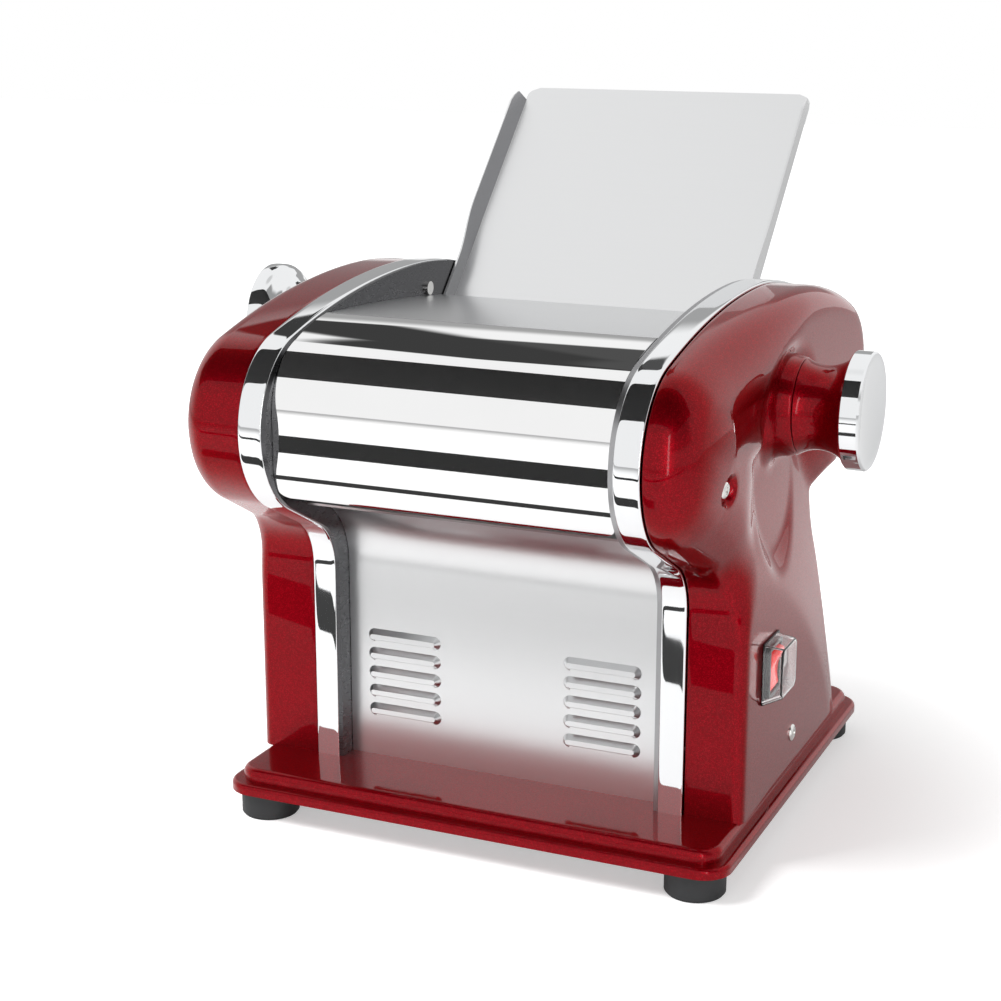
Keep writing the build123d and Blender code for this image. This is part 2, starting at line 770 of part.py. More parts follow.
def dial_cap(name, side, centre):
    """Bright cap with a short skirt and a shallow dished face."""
    start = dial_face_x - dial_cap_depth
    with BuildPart() as cap:
        with BuildSketch(axis_plane(centre, side * start)):
            Circle(dial_radius)
        extrude(amount=side * dial_cap_depth)
        chamfer(cap.edges().filter_by(GeomType.CIRCLE), 0.8)
        with Locations((side * (dial_face_x - dial_dish_depth + dish_sphere_radius), *centre)):
            Sphere(dish_sphere_radius, mode=Mode.SUBTRACT)
    save(cap.part, name)


def dial_spindle(name, side, centre, boss_end, inner_end, cam_offset):
    """Spindle from the grip to the inside, with its cam disc."""
    spindle_radius = dial_bore - 1.0
    start = boss_end + flat_clearance
    with BuildPart() as spindle:
        with BuildSketch(axis_plane(centre, side * inner_end)):
            Circle(spindle_radius)
        extrude(amount=side * (start - inner_end))
        with BuildSketch(axis_plane((centre[0], centre[1] + cam_offset), side * inner_end)):
            Circle(11.0)
        extrude(amount=side * 3.0)
    save(spindle.part, name)


right_boss_end = cover_right_x + boss_height
left_boss_end = cover_left_x + boss_height
dial_grip("gap_dial", 1, upper_roller, right_boss_end)
dial_cap("gap_dial_cap", 1, upper_roller)
dial_spindle("gap_dial_spindle", 1, upper_roller, right_boss_end, right_shaft_end + 1.0, 2.0)
dial_grip("left_dial", -1, left_dial, left_boss_end)
dial_cap("left_dial_cap", -1, left_dial)
dial_spindle("left_dial_spindle", -1, left_dial, left_boss_end, left_gear_end + 5.0, 2.0)


# ---------------------------------------------------------------- base
def draw_plate(inset):
    RectangleRounded(base_width - 2 * inset, base_depth - 2 * inset, base_corner - inset / 2)


with BuildPart() as base_plate:
    with BuildSketch(Plane.XY.offset(foot_height)):
        draw_plate(0)
    extrude(amount=rim_height)
    rim_edges = base_plate.faces().sort_by(Axis.Z)[-1].edges()
    fillet(rim_edges, 2.0)
    with BuildSketch(Plane.XY.offset(foot_height + rim_height)):
        draw_plate(tier_inset)
    extrude(amount=tier_height)
    fillet(base_plate.faces().sort_by(Axis.Z)[-1].edges(), 3.5)
    with BuildSketch(Plane.XY.offset(foot_height)):
        draw_plate(tier_inset + base_skin + 2.0)
    extrude(amount=rim_height + tier_height - base_skin, mode=Mode.SUBTRACT)
save(base_plate.part, "base_plate")

foot_x = base_width / 2 - foot_inset_x
foot_y = base_depth / 2 - foot_inset_y
foot_screw_radius = 2.2
with BuildPart() as bottom_sheet:
    with BuildSketch(Plane.XY.offset(foot_height)):
        draw_plate(tier_inset + base_skin + 2.0 + flat_clearance)
        with GridLocations(2 * foot_x, 2 * foot_y, 2, 2):
            Circle(foot_screw_radius, mode=Mode.SUBTRACT)
        with GridLocations(0, 9.0, 1, 6):
            SlotOverall(60.0, 4.0, mode=Mode.SUBTRACT)
    extrude(amount=bottom_thickness)
save(bottom_sheet.part, "bottom_sheet")

with BuildPart() as rubber_feet:
    with BuildSketch():
        with GridLocations(2 * foot_x, 2 * foot_y, 2, 2):
            Circle(foot_radius - 0.8)
    extrude(amount=1.0)
    with BuildSketch(Plane.XY.offset(1.0)):
        with GridLocations(2 * foot_x, 2 * foot_y, 2, 2):
            Circle(foot_radius)
    extrude(amount=foot_height - 1.0)
    with BuildSketch():
        with GridLocations(2 * foot_x, 2 * foot_y, 2, 2):
            Circle(5.0)
    extrude(amount=foot_height - 3.0, mode=Mode.SUBTRACT)
    with BuildSketch():
        with GridLocations(2 * foot_x, 2 * foot_y, 2, 2):
            Circle(foot_screw_radius)
    extrude(amount=foot_height, mode=Mode.SUBTRACT)
save(rubber_feet.part, "rubber_feet")

with BuildPart() as foot_screws:
    with BuildSketch(Plane.XY.offset(foot_height - 5.4)):
        with GridLocations(2 * foot_x, 2 * foot_y, 2, 2):
            Circle(4.0)
    extrude(amount=2.4)
    with BuildSketch(Plane.XY.offset(foot_height - 3.0)):
        with GridLocations(2 * foot_x, 2 * foot_y, 2, 2):
            Circle(foot_screw_radius - bearing_clearance)
    extrude(amount=3.0 + bottom_thickness + 1.5)
save(foot_screws.part, "foot_screws")


# ---------------------------------------------------------------- stainless skins
skin_half = throat_half - 0.2


turn = (cover_turn_y, head_z + cover_turn_rise)
tuck = (cover_turn_y - cover_turn_radius + cover_tuck_radius, head_z - cover_tuck_drop)
seam_angle = degrees(acos((seam_y - crown_front[0]) / crown_front_radius))
seam_point = polar(crown_front, crown_front_radius - 0.4, seam_angle)
turn_start = polar(turn, cover_turn_radius, nose_end)


def draw_roller_cover(grow):
    """Line of the roller cover, moved outwards by grow."""
    ThreePointArc(
        (seam_point[0], seam_point[1] + grow),
        (
            (seam_point[0] + turn_start[0]) / 2,
            (seam_point[1] + turn_start[1]) / 2 + 0.9 + grow,
        ),
        polar(turn, cover_turn_radius + grow, nose_end),
    )
    circle_arc(turn, cover_turn_radius + grow, nose_end, 180)
    Line(polar(turn, cover_turn_radius + grow, 180), polar(tuck, cover_tuck_radius + grow, 180))
    circle_arc(tuck, cover_tuck_radius + grow, 180, cover_tuck_angle)


with BuildPart() as roller_cover:
    with BuildSketch(across(-skin_half)):
        with BuildLine():
            draw_roller_cover(0)
            draw_roller_cover(-sheet)
            Line(seam_point, (seam_point[0], seam_point[1] - sheet))
            Line(
                polar(tuck, cover_tuck_radius, cover_tuck_angle),
                polar(tuck, cover_tuck_radius - sheet, cover_tuck_angle),
            )
        make_face()
    extrude(amount=2 * skin_half)
    lower_corners = roller_cover.edges().filter_by(GeomType.LINE).sort_by(Axis.Z)
    corner_edges = [edge for edge in lower_corners if edge.length < 2 * sheet][:2]
    fillet(corner_edges, cover_corner)
save(roller_cover.part, "roller_cover")

with BuildPart() as top_plate:
    with BuildSketch(across(-skin_half)):
        front = (seam_point[0] + flat_clearance, seam_point[1])
        front_under = (front[0], front[1] - sheet)
        middle = (top_plate_mid_y, head_z + top_plate_mid_rise)
        end = (top_plate_end_y, head_z + top_plate_end_rise)
        end_under = (end[0] - sheet, end[1] - sheet)
        with BuildLine():
            ThreePointArc(front, middle, end)
            Polyline(
                end,
                (end[0], end[1] - top_plate_lip),
                (end[0] - sheet, end[1] - top_plate_lip),
                end_under,
            )
            ThreePointArc(end_under, (middle[0], middle[1] - sheet), front_under)
            Line(front_under, front)
        make_face()
    extrude(amount=2 * skin_half)
save(top_plate.part, "top_plate")

def draw_panel(extra):
    """Front line of the panel: straight, then curling forwards under the head."""
    post_y = cove_front_y + cove_front_radius + panel_inset + extra
    Line((post_y, base_top), (post_y, cove_front[1]))
    circle_arc(cove_front, cove_front_radius + panel_inset + extra, 0, panel_top_angle)


def louvre_plane(x, z):
    face_y = cove_front_y + cove_front_radius + panel_inset
    return Plane(origin=(x, face_y, z), x_dir=(1, 0, 0), z_dir=(0, -1, 0))


def louvre(x, z):
    """One hooded louvre: a pill-shaped dome whose lower half is cut open."""
    with BuildSketch(louvre_plane(x, z)) as dome:
        SlotOverall(louvre_length, louvre_height)
    extrude(dome.sketch, amount=louvre_depth, taper=louvre_taper)
    with BuildSketch(louvre_plane(x, z).offset(-panel_sheet)) as hollow:
        SlotOverall(louvre_length - 2 * panel_sheet, louvre_height - 2 * panel_sheet)
    extrude(hollow.sketch, amount=louvre_depth, taper=louvre_taper / 2, mode=Mode.SUBTRACT)
    with BuildSketch(louvre_plane(x, z)) as mouth:
        with Locations((0, -louvre_height / 2)):
            Rectangle(louvre_length - louvre_height, louvre_height / 2)
    extrude(mouth.sketch, amount=2 * louvre_depth, mode=Mode.SUBTRACT)


with BuildPart() as front_panel:
    with BuildSketch(across(-skin_half)):
        with BuildLine():
            draw_panel(0)
            draw_panel(panel_sheet)
            post_y = cove_front_y + cove_front_radius + panel_inset
            Line((post_y, base_top), (post_y + panel_sheet, base_top))
            Line(
                polar(cove_front, cove_front_radius + panel_inset, panel_top_angle),
                polar(cove_front, cove_front_radius + panel_inset + panel_sheet, panel_top_angle),
            )
        make_face()
    extrude(amount=2 * skin_half)
    louvre_x = throat_half - louvre_side_gap - louvre_length / 2
    for column in (-1, 1):
        for row in range(louvre_rows):
            louvre(column * louvre_x, louvre_low_z + row * louvre_pitch)
save(front_panel.part, "front_panel")


def draw_rear_panel(inset):
    """Rear skin from behind the tray, round the tail, down to the base."""
    start = degrees(acos((rear_panel_start_y - crown_rear[0]) / crown_rear_radius))
    circle_arc(crown_rear, crown_rear_radius - inset, start, tail_start)
    circle_arc(tail, tail_radius - inset, tail_start, rear_angle - 180)
    Line(
        polar(tail, tail_radius - inset, rear_angle - 180),
        polar(cove_rear, cove_rear_radius + inset, rear_angle),
    )
    circle_arc(cove_rear, cove_rear_radius + inset, rear_angle, rear_slope + 90)
    Line(
        polar(cove_rear, cove_rear_radius + inset, rear_slope + 90),
        rear_line_point(inset, base_top),
    )
    return polar(crown_rear, crown_rear_radius - inset, start)


with BuildPart() as rear_panel:
    with BuildSketch(across(-skin_half)):
        with BuildLine():
            outer_start = draw_rear_panel(rear_inset)
            inner_start = draw_rear_panel(rear_inset + sheet)
            Line(outer_start, inner_start)
            Line(rear_line_point(rear_inset, base_top), rear_line_point(rear_inset + sheet, base_top))
        make_face()
    extrude(amount=2 * skin_half)
    with BuildSketch(Plane.XZ.offset(-150)):
        with Locations((-48.0, 44.0)):
            Circle(7.0)
        with GridLocations(0, 8.0, 1, 5):
            with Locations((30.0, 62.0)):
                SlotOverall(54.0, 3.6)
    extrude(amount=120, mode=Mode.SUBTRACT)
save(rear_panel.part, "rear_panel")


# ---------------------------------------------------------------- dough tray and its rails
tray_origin = (0, tray_end_y, head_z - tray_end_drop)
tray_half = throat_half - tray_side_gap


def tray_plane(lift=0.0):
    """Plane of the tray's plate: local X across, local Y up the slope."""
    return Plane(origin=tray_origin, x_dir=(1, 0, 0), z_dir=(0, -1, 1)).offset(lift)


with BuildPart() as dough_tray:
    with BuildSketch(tray_plane(-tray_sheet)):
        with Locations((0, tray_length / 2)):
            Rectangle(2 * tray_half, tray_length)
    extrude(amount=tray_sheet)
    for side in (-1, 1):
        with BuildSketch(tray_plane(0)):
            with Locations((side * (tray_half - tray_sheet / 2), (tray_length - tray_flange_short) / 2)):
                Rectangle(tray_sheet, tray_length - tray_flange_short)
        extrude(amount=tray_flange - tray_sheet)
    top_corners = dough_tray.edges().filter_by(Axis((0, 0, 0), (0, -1, 1))).group_by(Axis.Y)[-1]
    fillet(top_corners, tray_corner)
save(dough_tray.part, "dough_tray")

rail_width = 8.0
with BuildPart() as tray_rails:
    for side in (-1, 1):
        with BuildSketch(tray_plane(-tray_sheet - flat_clearance - 2.0)):
            with Locations((side * (throat_half - rail_width / 2), 46.0)):
                Rectangle(rail_width, 56.0)
        extrude(amount=2.0)
save(tray_rails.part, "tray_rails")

rivet_place = (15.4, head_z + 41.0)
with BuildPart() as wall_rivets:
    for side in (-1, 1):
        with BuildSketch(axis_plane(rivet_place, side * throat_half)):
            Circle(3.2)
        extrude(amount=-side * 1.6)
save(wall_rivets.part, "wall_rivets")


# ---------------------------------------------------------------- chute, scrapers and combs
chute_thickness = 1.5
with BuildPart() as sheet_chute:
    with BuildSketch(across(-throat_half)):
        with BuildLine():
            front = (lower_cutter[0] + cutter_radius + 2.5, lower_cutter[1] + cutter_radius / 2)
            back = (lower_roller[0] - roller_radius - 1.5, lower_roller[1] + 3.0)
            middle = ((front[0] + back[0]) / 2, (front[1] + back[1]) / 2 - 2.0)
            ThreePointArc(back, middle, front)
            Line(front, (front[0], front[1] - chute_thickness))
            ThreePointArc(
                (front[0], front[1] - chute_thickness),
                (middle[0], middle[1] - chute_thickness),
                (back[0], back[1] - chute_thickness),
            )
            Line((back[0], back[1] - chute_thickness), back)
        make_face()
    extrude(amount=2 * throat_half)
save(sheet_chute.part, "sheet_chute")


def scraper_bar(name, centre, contact_angle, lean, turn):
    """Blade just off a roller's surface, on a square bar between the frames."""
    edge = polar(centre, roller_radius + flat_clearance, contact_angle)
    tail_end = polar(edge, 11.0, lean)
    side_shift = polar((0, 0), 1.2, lean + turn * 90)
    with BuildPart() as scraper:
        with BuildSketch(across(-throat_half)):
            Polygon(
                edge,
                tail_end,
                (tail_end[0] + side_shift[0] * 2.5, tail_end[1] + side_shift[1] * 2.5),
                (edge[0] + side_shift[0], edge[1] + side_shift[1]),
                align=None,
            )
        extrude(amount=2 * throat_half)
    save(scraper.part, name)


scraper_bar("lower_scraper", lower_roller, 215.0, 275.0, -1)
scraper_bar("upper_scraper", upper_roller, 190.0, 130.0, 1)


def cutter_comb(name, centre, contact_angle, lean, first_groove):
    """Bar with one tooth in each groove of a cutter."""
    root = polar(centre, cutter_radius + 0.6, contact_angle)
    tip = polar(centre, groove_radius + 0.35, contact_angle)
    outer = polar(root, 5.0, lean)
    thick = polar((0, 0), 2.0, contact_angle + 90)
    with BuildPart() as comb:
        with BuildSketch(across(-throat_half)):
            Polygon(
                root,
                outer,
                (outer[0] + thick[0], outer[1] + thick[1]),
                (root[0] + thick[0], root[1] + thick[1]),
                align=None,
            )
        extrude(amount=2 * throat_half)
        tooth = ridge_pitch - 1.0
        for groove in range(first_groove, 2 * cutter_ridges + 1, 2):
            with BuildSketch(across(-roller_half + groove * ridge_pitch + 0.5)):
                Polygon(
                    root,
                    tip,
                    (root[0] + thick[0], root[1] + thick[1]),
                    align=None,
                )
            extrude(amount=tooth)
    save(comb.part, name)


cutter_comb("lower_comb", lower_cutter, 225.0, 235.0, 1)
cutter_comb("upper_comb", upper_cutter, 190.0, 190.0, 0)


# ---------------------------------------------------------------- motor
motor_left = -throat_half + gearbox_length
with BuildPart() as gearbox:
    with BuildSketch(axis_plane(pinion_axis, -throat_half)):
        Circle(motor_radius + 3.0)
    extrude(amount=motor_left + throat_half)
    chamfer(gearbox.edges().filter_by(GeomType.CIRCLE), 2.0)
save(gearbox.part, "gearbox")

with BuildPart() as motor_shaft:
    with BuildSketch(axis_plane(pinion_axis, -left_gear_end)):
        Circle(pinion_bore)
    extrude(amount=left_gear_end - throat_half - flat_clearance)
save(motor_shaft.part, "motor_shaft")

with BuildPart() as motor:
    with BuildSketch(axis_plane(pinion_axis, motor_left)):
        Circle(motor_radius)
    extrude(amount=motor_length)
    chamfer(motor.faces().sort_by(Axis.X)[-1].edges(), 4.0)
save(motor.part, "motor")

with BuildPart() as motor_cradle:
    with BuildSketch(across(motor_left + 20.0)):
        with Locations((pinion_axis[0], (base_top + pinion_axis[1]) / 2)):
            Rectangle(40.0, pinion_axis[1] - base_top)
        with Locations(pinion_axis):
            Circle(motor_radius + flat_clearance, mode=Mode.SUBTRACT)
    extrude(amount=6.0)
    with BuildSketch(across(motor_left + 56.0)):
        with Locations((pinion_axis[0], (base_top + pinion_axis[1]) / 2)):
            Rectangle(40.0, pinion_axis[1] - base_top)
        with Locations(pinion_axis):
            Circle(motor_radius + flat_clearance, mode=Mode.SUBTRACT)
    extrude(amount=6.0)
    with BuildSketch(Plane.XY.offset(base_top)):
        with Locations((motor_left + 41.0, pinion_axis[0])):
            Rectangle(50.0, 52.0)
    extrude(amount=2.0)
save(motor_cradle.part, "motor_cradle")


# ---------------------------------------------------------------- switch
def switch_plane(x):
    return axis_plane((switch_y, switch_z), x)


rocker_pivot_x = cover_right_x + 0.4
with BuildPart() as switch_body:
    with BuildSketch(switch_plane(cover_right_x)):
        Rectangle(bezel_width, bezel_height)
    extrude(amount=switch_bezel_depth)
    with BuildSketch(switch_plane(cover_right_x - 14.0)):
        Rectangle(bezel_width - 2.6, bezel_height - 2.6)
    extrude(amount=14.0)
    with BuildSketch(switch_plane(cover_right_x - 4.0)):
        Rectangle(rocker_width + 2 * rocker_side_gap, rocker_height + 1.0)
    extrude(amount=10.0, mode=Mode.SUBTRACT)
    with BuildSketch(Plane.XZ.offset(-switch_y - bezel_width / 2 + 0.6)):
        with Locations((rocker_pivot_x, switch_z)):
            Circle(rocker_pin_radius + bearing_clearance)
    extrude(amount=bezel_width - 1.2, mode=Mode.SUBTRACT)
save(switch_body.part, "switch_body")

with BuildPart() as switch_rocker:
    tip = rocker_height / 2
    with BuildSketch(Plane.XZ.offset(-switch_y + rocker_width / 2 - rocker_width)):
        with BuildLine():
            Polyline(
                (rocker_pivot_x + 3.6, switch_z - tip + 0.6),
                (rocker_pivot_x - 1.0, switch_z - tip + 0.6),
                (rocker_pivot_x - 3.2, switch_z),
                (rocker_pivot_x - 1.0, switch_z + tip - 0.6),
                (rocker_pivot_x + 3.6, switch_z + tip - 0.6),
            )
            ThreePointArc(
                (rocker_pivot_x + 3.6, switch_z + tip - 0.6),
                (rocker_pivot_x + 2.0, switch_z),
                (rocker_pivot_x + 3.6, switch_z - tip + 0.6),
            )
        make_face()
    extrude(amount=rocker_width)
    with BuildSketch(Plane.XZ.offset(-switch_y - rocker_width / 2 - rocker_pin_reach)):
        with Locations((rocker_pivot_x, switch_z)):
            Circle(rocker_pin_radius)
    extrude(amount=rocker_width + 2 * rocker_pin_reach)
pivot = Axis((rocker_pivot_x, switch_y, switch_z), (0, 1, 0))
save(switch_rocker.part.rotate(pivot, rocker_tilt), "switch_rocker")


def draw_hood(shrink, mode=Mode.ADD):
    """Eight-sided outline of the clear hood."""
    half_y = bezel_width / 2 + hood_margin - shrink
    half_z = bezel_height / 2 + hood_margin - shrink
    cut = 4.5
    with BuildLine() as outline:
        Polyline(
            (-half_y + cut, -half_z),
            (half_y - cut, -half_z),
            (half_y, -half_z + cut),
            (half_y, half_z - cut),
            (half_y - cut, half_z),
            (-half_y + cut, half_z),
            (-half_y, half_z - cut),
            (-half_y, -half_z + cut),
            close=True,
        )
    make_face(outline.edges(), mode=mode)


with BuildPart() as switch_hood:
    with BuildSketch(switch_plane(cover_right_x)):
        draw_hood(0)
        draw_hood(hood_wall, mode=Mode.SUBTRACT)
    extrude(amount=hood_depth - hood_bevel)
    with BuildSketch(switch_plane(cover_right_x + hood_depth - hood_bevel)):
        draw_hood(0)
    with BuildSketch(switch_plane(cover_right_x + hood_depth)):
        draw_hood(hood_bevel)
    loft()
    with BuildSketch(switch_plane(cover_right_x + hood_depth - hood_bevel - hood_wall / 2)):
        draw_hood(hood_wall)
    with BuildSketch(switch_plane(cover_right_x + hood_depth - hood_wall)):
        draw_hood(hood_bevel + hood_wall / 2)
    loft(mode=Mode.SUBTRACT)
save(switch_hood.part, "switch_hood")


# ---------------------------------------------------------------- screws and gland
def pan_head(centre, x, side):
    """Pan-head screw along X with a cross recess."""
    with BuildSketch(axis_plane(centre, x)) as head:
        Circle(screw_head_radius)
    extrude(head.sketch, amount=side * screw_head_height)
    with BuildSketch(axis_plane(centre, x)) as shank:
        Circle(screw_radius)
    extrude(shank.sketch, amount=-side * 7.0)
    with BuildSketch(axis_plane(centre, x + side * screw_head_height / 2)) as recess:
        Rectangle(3.6, 0.8)
        Rectangle(0.8, 3.6)
    extrude(recess.sketch, amount=side * 1.0, mode=Mode.SUBTRACT)


with BuildPart() as cover_screws:
    pan_head(lower_screw, cover_right_x, 1)
    pan_head(lower_screw, -cover_left_x, -1)
    pan_head(upper_screw, cover_right_x - screw_seat_depth, 1)
    pan_head(upper_screw, -cover_left_x + screw_seat_depth, -1)
save(cover_screws.part, "cover_screws")

gland_place = (rear_line_point(rear_inset, 44.0)[0], 44.0)
with BuildPart() as cord_gland:
    with BuildSketch(Plane(origin=(-48.0, gland_place[0] - 6.0, gland_place[1]), x_dir=(1, 0, 0), z_dir=(0, 1, 0))):
        Circle(6.6)
        Circle(3.6, mode=Mode.SUBTRACT)
    extrude(amount=14.0)
    with BuildSketch(Plane(origin=(-48.0, gland_place[0] + 3.0, gland_place[1]), x_dir=(1, 0, 0), z_dir=(0, 1, 0))):
        Circle(9.5)
        Circle(3.6, mode=Mode.SUBTRACT)
    extrude(amount=2.5)
save(cord_gland.part, "cord_gland")
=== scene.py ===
import json
import bpy
import bmesh
from math import radians, degrees, sin, cos, pi, hypot, atan2, acos, asin, sqrt
from mathutils import Vector, Matrix
from mathutils.kdtree import KDTree


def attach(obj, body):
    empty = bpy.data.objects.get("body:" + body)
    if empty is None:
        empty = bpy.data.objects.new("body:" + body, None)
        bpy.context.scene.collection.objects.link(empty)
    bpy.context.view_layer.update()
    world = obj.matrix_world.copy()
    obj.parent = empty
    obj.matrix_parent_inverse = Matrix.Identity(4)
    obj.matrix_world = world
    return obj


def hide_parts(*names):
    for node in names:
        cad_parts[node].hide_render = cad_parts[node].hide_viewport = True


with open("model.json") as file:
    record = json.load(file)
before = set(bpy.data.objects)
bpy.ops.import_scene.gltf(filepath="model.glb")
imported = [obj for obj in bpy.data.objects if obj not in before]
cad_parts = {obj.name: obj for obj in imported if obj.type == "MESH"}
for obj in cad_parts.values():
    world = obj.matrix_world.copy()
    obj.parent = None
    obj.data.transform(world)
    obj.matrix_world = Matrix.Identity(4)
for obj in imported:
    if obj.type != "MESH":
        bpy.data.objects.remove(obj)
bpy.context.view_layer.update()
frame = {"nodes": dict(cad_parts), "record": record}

record = frame["record"]
slotOf = {part["node"]: part["material_slot"] for part in record["subparts"]}
bodyOf = {node: body for body, nodes in record["behaviour"]["bodies"].items() for node in nodes}
mm = 0.001

camera = {
    "place": (0.3362, -0.8243, 0.3709), "turn": 23.98, "down": 14.97,  # metres and degrees
    "lens": 71.65, "sensor": 36.0, "nearest": 0.02,
}

cameraData = bpy.data.cameras.new("camera")
cameraData.lens = camera["lens"]
cameraData.sensor_width = camera["sensor"]
cameraData.sensor_fit = "HORIZONTAL"
cameraData.clip_start = camera["nearest"]
cameraObject = bpy.data.objects.new("camera", cameraData)
cameraObject.location = camera["place"]
cameraObject.rotation_euler = (radians(90 - camera["down"]), 0, radians(camera["turn"]))
bpy.context.scene.collection.objects.link(cameraObject)
bpy.context.scene.camera = cameraObject
bpy.context.scene.view_settings.view_transform = "Standard"


def addNode(tree, kind, **settings):
    node = tree.nodes.new(kind)
    for key, value in settings.items():
        setattr(node, key, value)
    return node


def join(tree, source, target):
    tree.links.new(source, target)


# what goes into a socket is a number or another socket
def feed(tree, value, socket):
    if isinstance(value, (int, float)):
        socket.default_value = value
    else:
        join(tree, value, socket)


def calc(tree, operation, first, second=None, third=None, clamp=False):
    node = addNode(tree, "ShaderNodeMath", operation=operation, use_clamp=clamp)
    for socket, value in zip(node.inputs, (first, second, third)):
        if value is not None:
            feed(tree, value, socket)
    return node.outputs[0]


# a soft step from one level to another as the value goes from low to high
def ramp(tree, value, low, high, outLow=0.0, outHigh=1.0):
    node = addNode(tree, "ShaderNodeMapRange", interpolation_type="SMOOTHSTEP")
    join(tree, value, node.inputs["Value"])
    node.inputs["From Min"].default_value = low
    node.inputs["From Max"].default_value = high
    node.inputs["To Min"].default_value = outLow
    node.inputs["To Max"].default_value = outHigh
    return node.outputs["Result"]


# sockets 2 and 3 of a Mix node are its numbers
def mixNumbers(tree, factor, first, second):
    node = addNode(tree, "ShaderNodeMix", data_type="FLOAT")
    join(tree, factor, node.inputs[0])
    feed(tree, first, node.inputs[2])
    feed(tree, second, node.inputs[3])
    return node.outputs[0]


# masks for what is seen directly or through glass, and for what is seen in a reflection
def rayMasks(tree):
    rays = addNode(tree, "ShaderNodeLightPath")
    direct = calc(tree, "MAXIMUM", rays.outputs["Is Camera Ray"], rays.outputs["Is Transmission Ray"])
    return direct, rays.outputs["Is Glossy Ray"]


# what polished surfaces see: a white tent with dark and pale cards, by height and turn in degrees,
# the turn counted from the front towards the right
studio = {
    "tent": 1.0,
    "diffuse": 0.42,
    "cards": (
        {"up": (78.0, 96.0), "round": (-190, 190), "level": 0.70, "soft": 5.0},
        {"up": (3.0, 29.0), "round": (-190, -134), "level": 0.40, "soft": 2.5},
        {"up": (14.0, 60.0), "round": (40, 85), "level": 0.35, "soft": 3.0},
        {"up": (37.8, 51.0), "round": (-157, -139.5), "level": 0.085, "soft": 0.6},
        {"up": (31.2, 51.0), "round": (-148.8, -139.5), "level": 0.05, "soft": 0.5},
    ),
}

world = bpy.data.worlds.new("studio")
bpy.context.scene.world = world
world.use_nodes = True
tree = world.node_tree
tree.nodes.clear()
direction = addNode(tree, "ShaderNodeTexCoord")
split = addNode(tree, "ShaderNodeSeparateXYZ")
join(tree, direction.outputs["Generated"], split.inputs[0])
up = calc(tree, "MULTIPLY", calc(tree, "ARCSINE", split.outputs["Z"]), 180 / pi)
towardsFront = calc(tree, "MULTIPLY", split.outputs["Y"], -1.0)
turned = calc(tree, "MULTIPLY", calc(tree, "ARCTAN2", split.outputs["X"], towardsFront), 180 / pi)


def cardMask(card):
    soft = card["soft"]
    low, high = card["up"]
    first, last = card["round"]
    mask = calc(tree, "MULTIPLY", ramp(tree, up, low - soft, low + soft),
                ramp(tree, up, high + soft, high - soft))
    mask = calc(tree, "MULTIPLY", mask, ramp(tree, turned, first - 2 * soft, first + 2 * soft))
    return calc(tree, "MULTIPLY", mask, ramp(tree, turned, last + 2 * soft, last - 2 * soft))


level = studio["tent"]
for card in studio["cards"]:
    drop = calc(tree, "MULTIPLY", cardMask(card), calc(tree, "SUBTRACT", level, card["level"]))
    level = calc(tree, "SUBTRACT", level, drop)
direct, mirrored = rayMasks(tree)
background = addNode(tree, "ShaderNodeBackground")
background.inputs["Color"].default_value = (1, 1, 1, 1)
strength = mixNumbers(tree, direct, mixNumbers(tree, mirrored, studio["diffuse"], level), 1.0)
join(tree, strength, background.inputs["Strength"])
output = addNode(tree, "ShaderNodeOutputWorld")
join(tree, background.outputs[0], output.inputs["Surface"])

lamps = (
    {"name": "keyLamp", "place": (-0.9, -0.7, 1.5), "aim": (0, 0, 0.1), "size": 0.8, "power": 33},
    {"name": "sideLamp", "place": (1.3, -0.5, 0.9), "aim": (0, 0, 0.12), "size": 0.8, "power": 4},
)
for lamp in lamps:
    data = bpy.data.lights.new(lamp["name"], "AREA")
    data.size = lamp["size"]
    data.energy = lamp["power"]
    item = bpy.data.objects.new(lamp["name"], data)
    item.location = lamp["place"]
    item.rotation_euler = (Vector(lamp["aim"]) - Vector(lamp["place"])).to_track_quat("-Z", "Y").to_euler()
    item.visible_glossy = False
    bpy.context.scene.collection.objects.link(item)


# a flat sheet that belongs to the studio and not to the machine
def stageSheet(name, size, location, turn=(0, 0, 0)):
    sheetMesh = bpy.data.meshes.new(name)
    bm = bmesh.new()
    bmesh.ops.create_grid(bm, x_segments=1, y_segments=1, size=1.0)
    bmesh.ops.scale(bm, verts=bm.verts, vec=(*size, 1))
    bm.to_mesh(sheetMesh)
    bm.free()
    item = bpy.data.objects.new(name, sheetMesh)
    item.location = location
    item.rotation_euler = [radians(a) for a in turn]
    bpy.context.scene.collection.objects.link(item)
    return item


# the floor glows with painted light, weaker near the machine so that the lamp's shadow shows there and
# stronger further out, so that it fades into the white background with distance; in reflections it has a
# small, even painted glow
floorPlan = {
    "half": 4.0, "colour": 0.80, "roughness": 0.9, "specular": 0.1,
    "near": 0.42, "far": 1.05, "fade": (0.13, 0.36), "mirrored": 0.16,
}
floorObject = stageSheet("floor", (floorPlan["half"], floorPlan["half"]), (0, 0, 0))
floorPaint = bpy.data.materials.new("floorPaint")
floorPaint.use_nodes = True
tree = floorPaint.node_tree
shader = tree.nodes["Principled BSDF"]
shader.inputs["Base Color"].default_value = (floorPlan["colour"],) * 3 + (1,)
shader.inputs["Roughness"].default_value = floorPlan["roughness"]
shader.inputs["Specular IOR Level"].default_value = floorPlan["specular"]
shader.inputs["Emission Color"].default_value = (1, 1, 1, 1)
coords = addNode(tree, "ShaderNodeTexCoord")
reach = addNode(tree, "ShaderNodeVectorMath", operation="LENGTH")
join(tree, coords.outputs["Object"], reach.inputs[0])
lift = ramp(tree, reach.outputs["Value"], *floorPlan["fade"], floorPlan["near"], floorPlan["far"])
direct, mirrored = rayMasks(tree)
glow = calc(tree, "MULTIPLY", direct, lift)
mirrored = calc(tree, "MULTIPLY", mirrored, floorPlan["mirrored"])
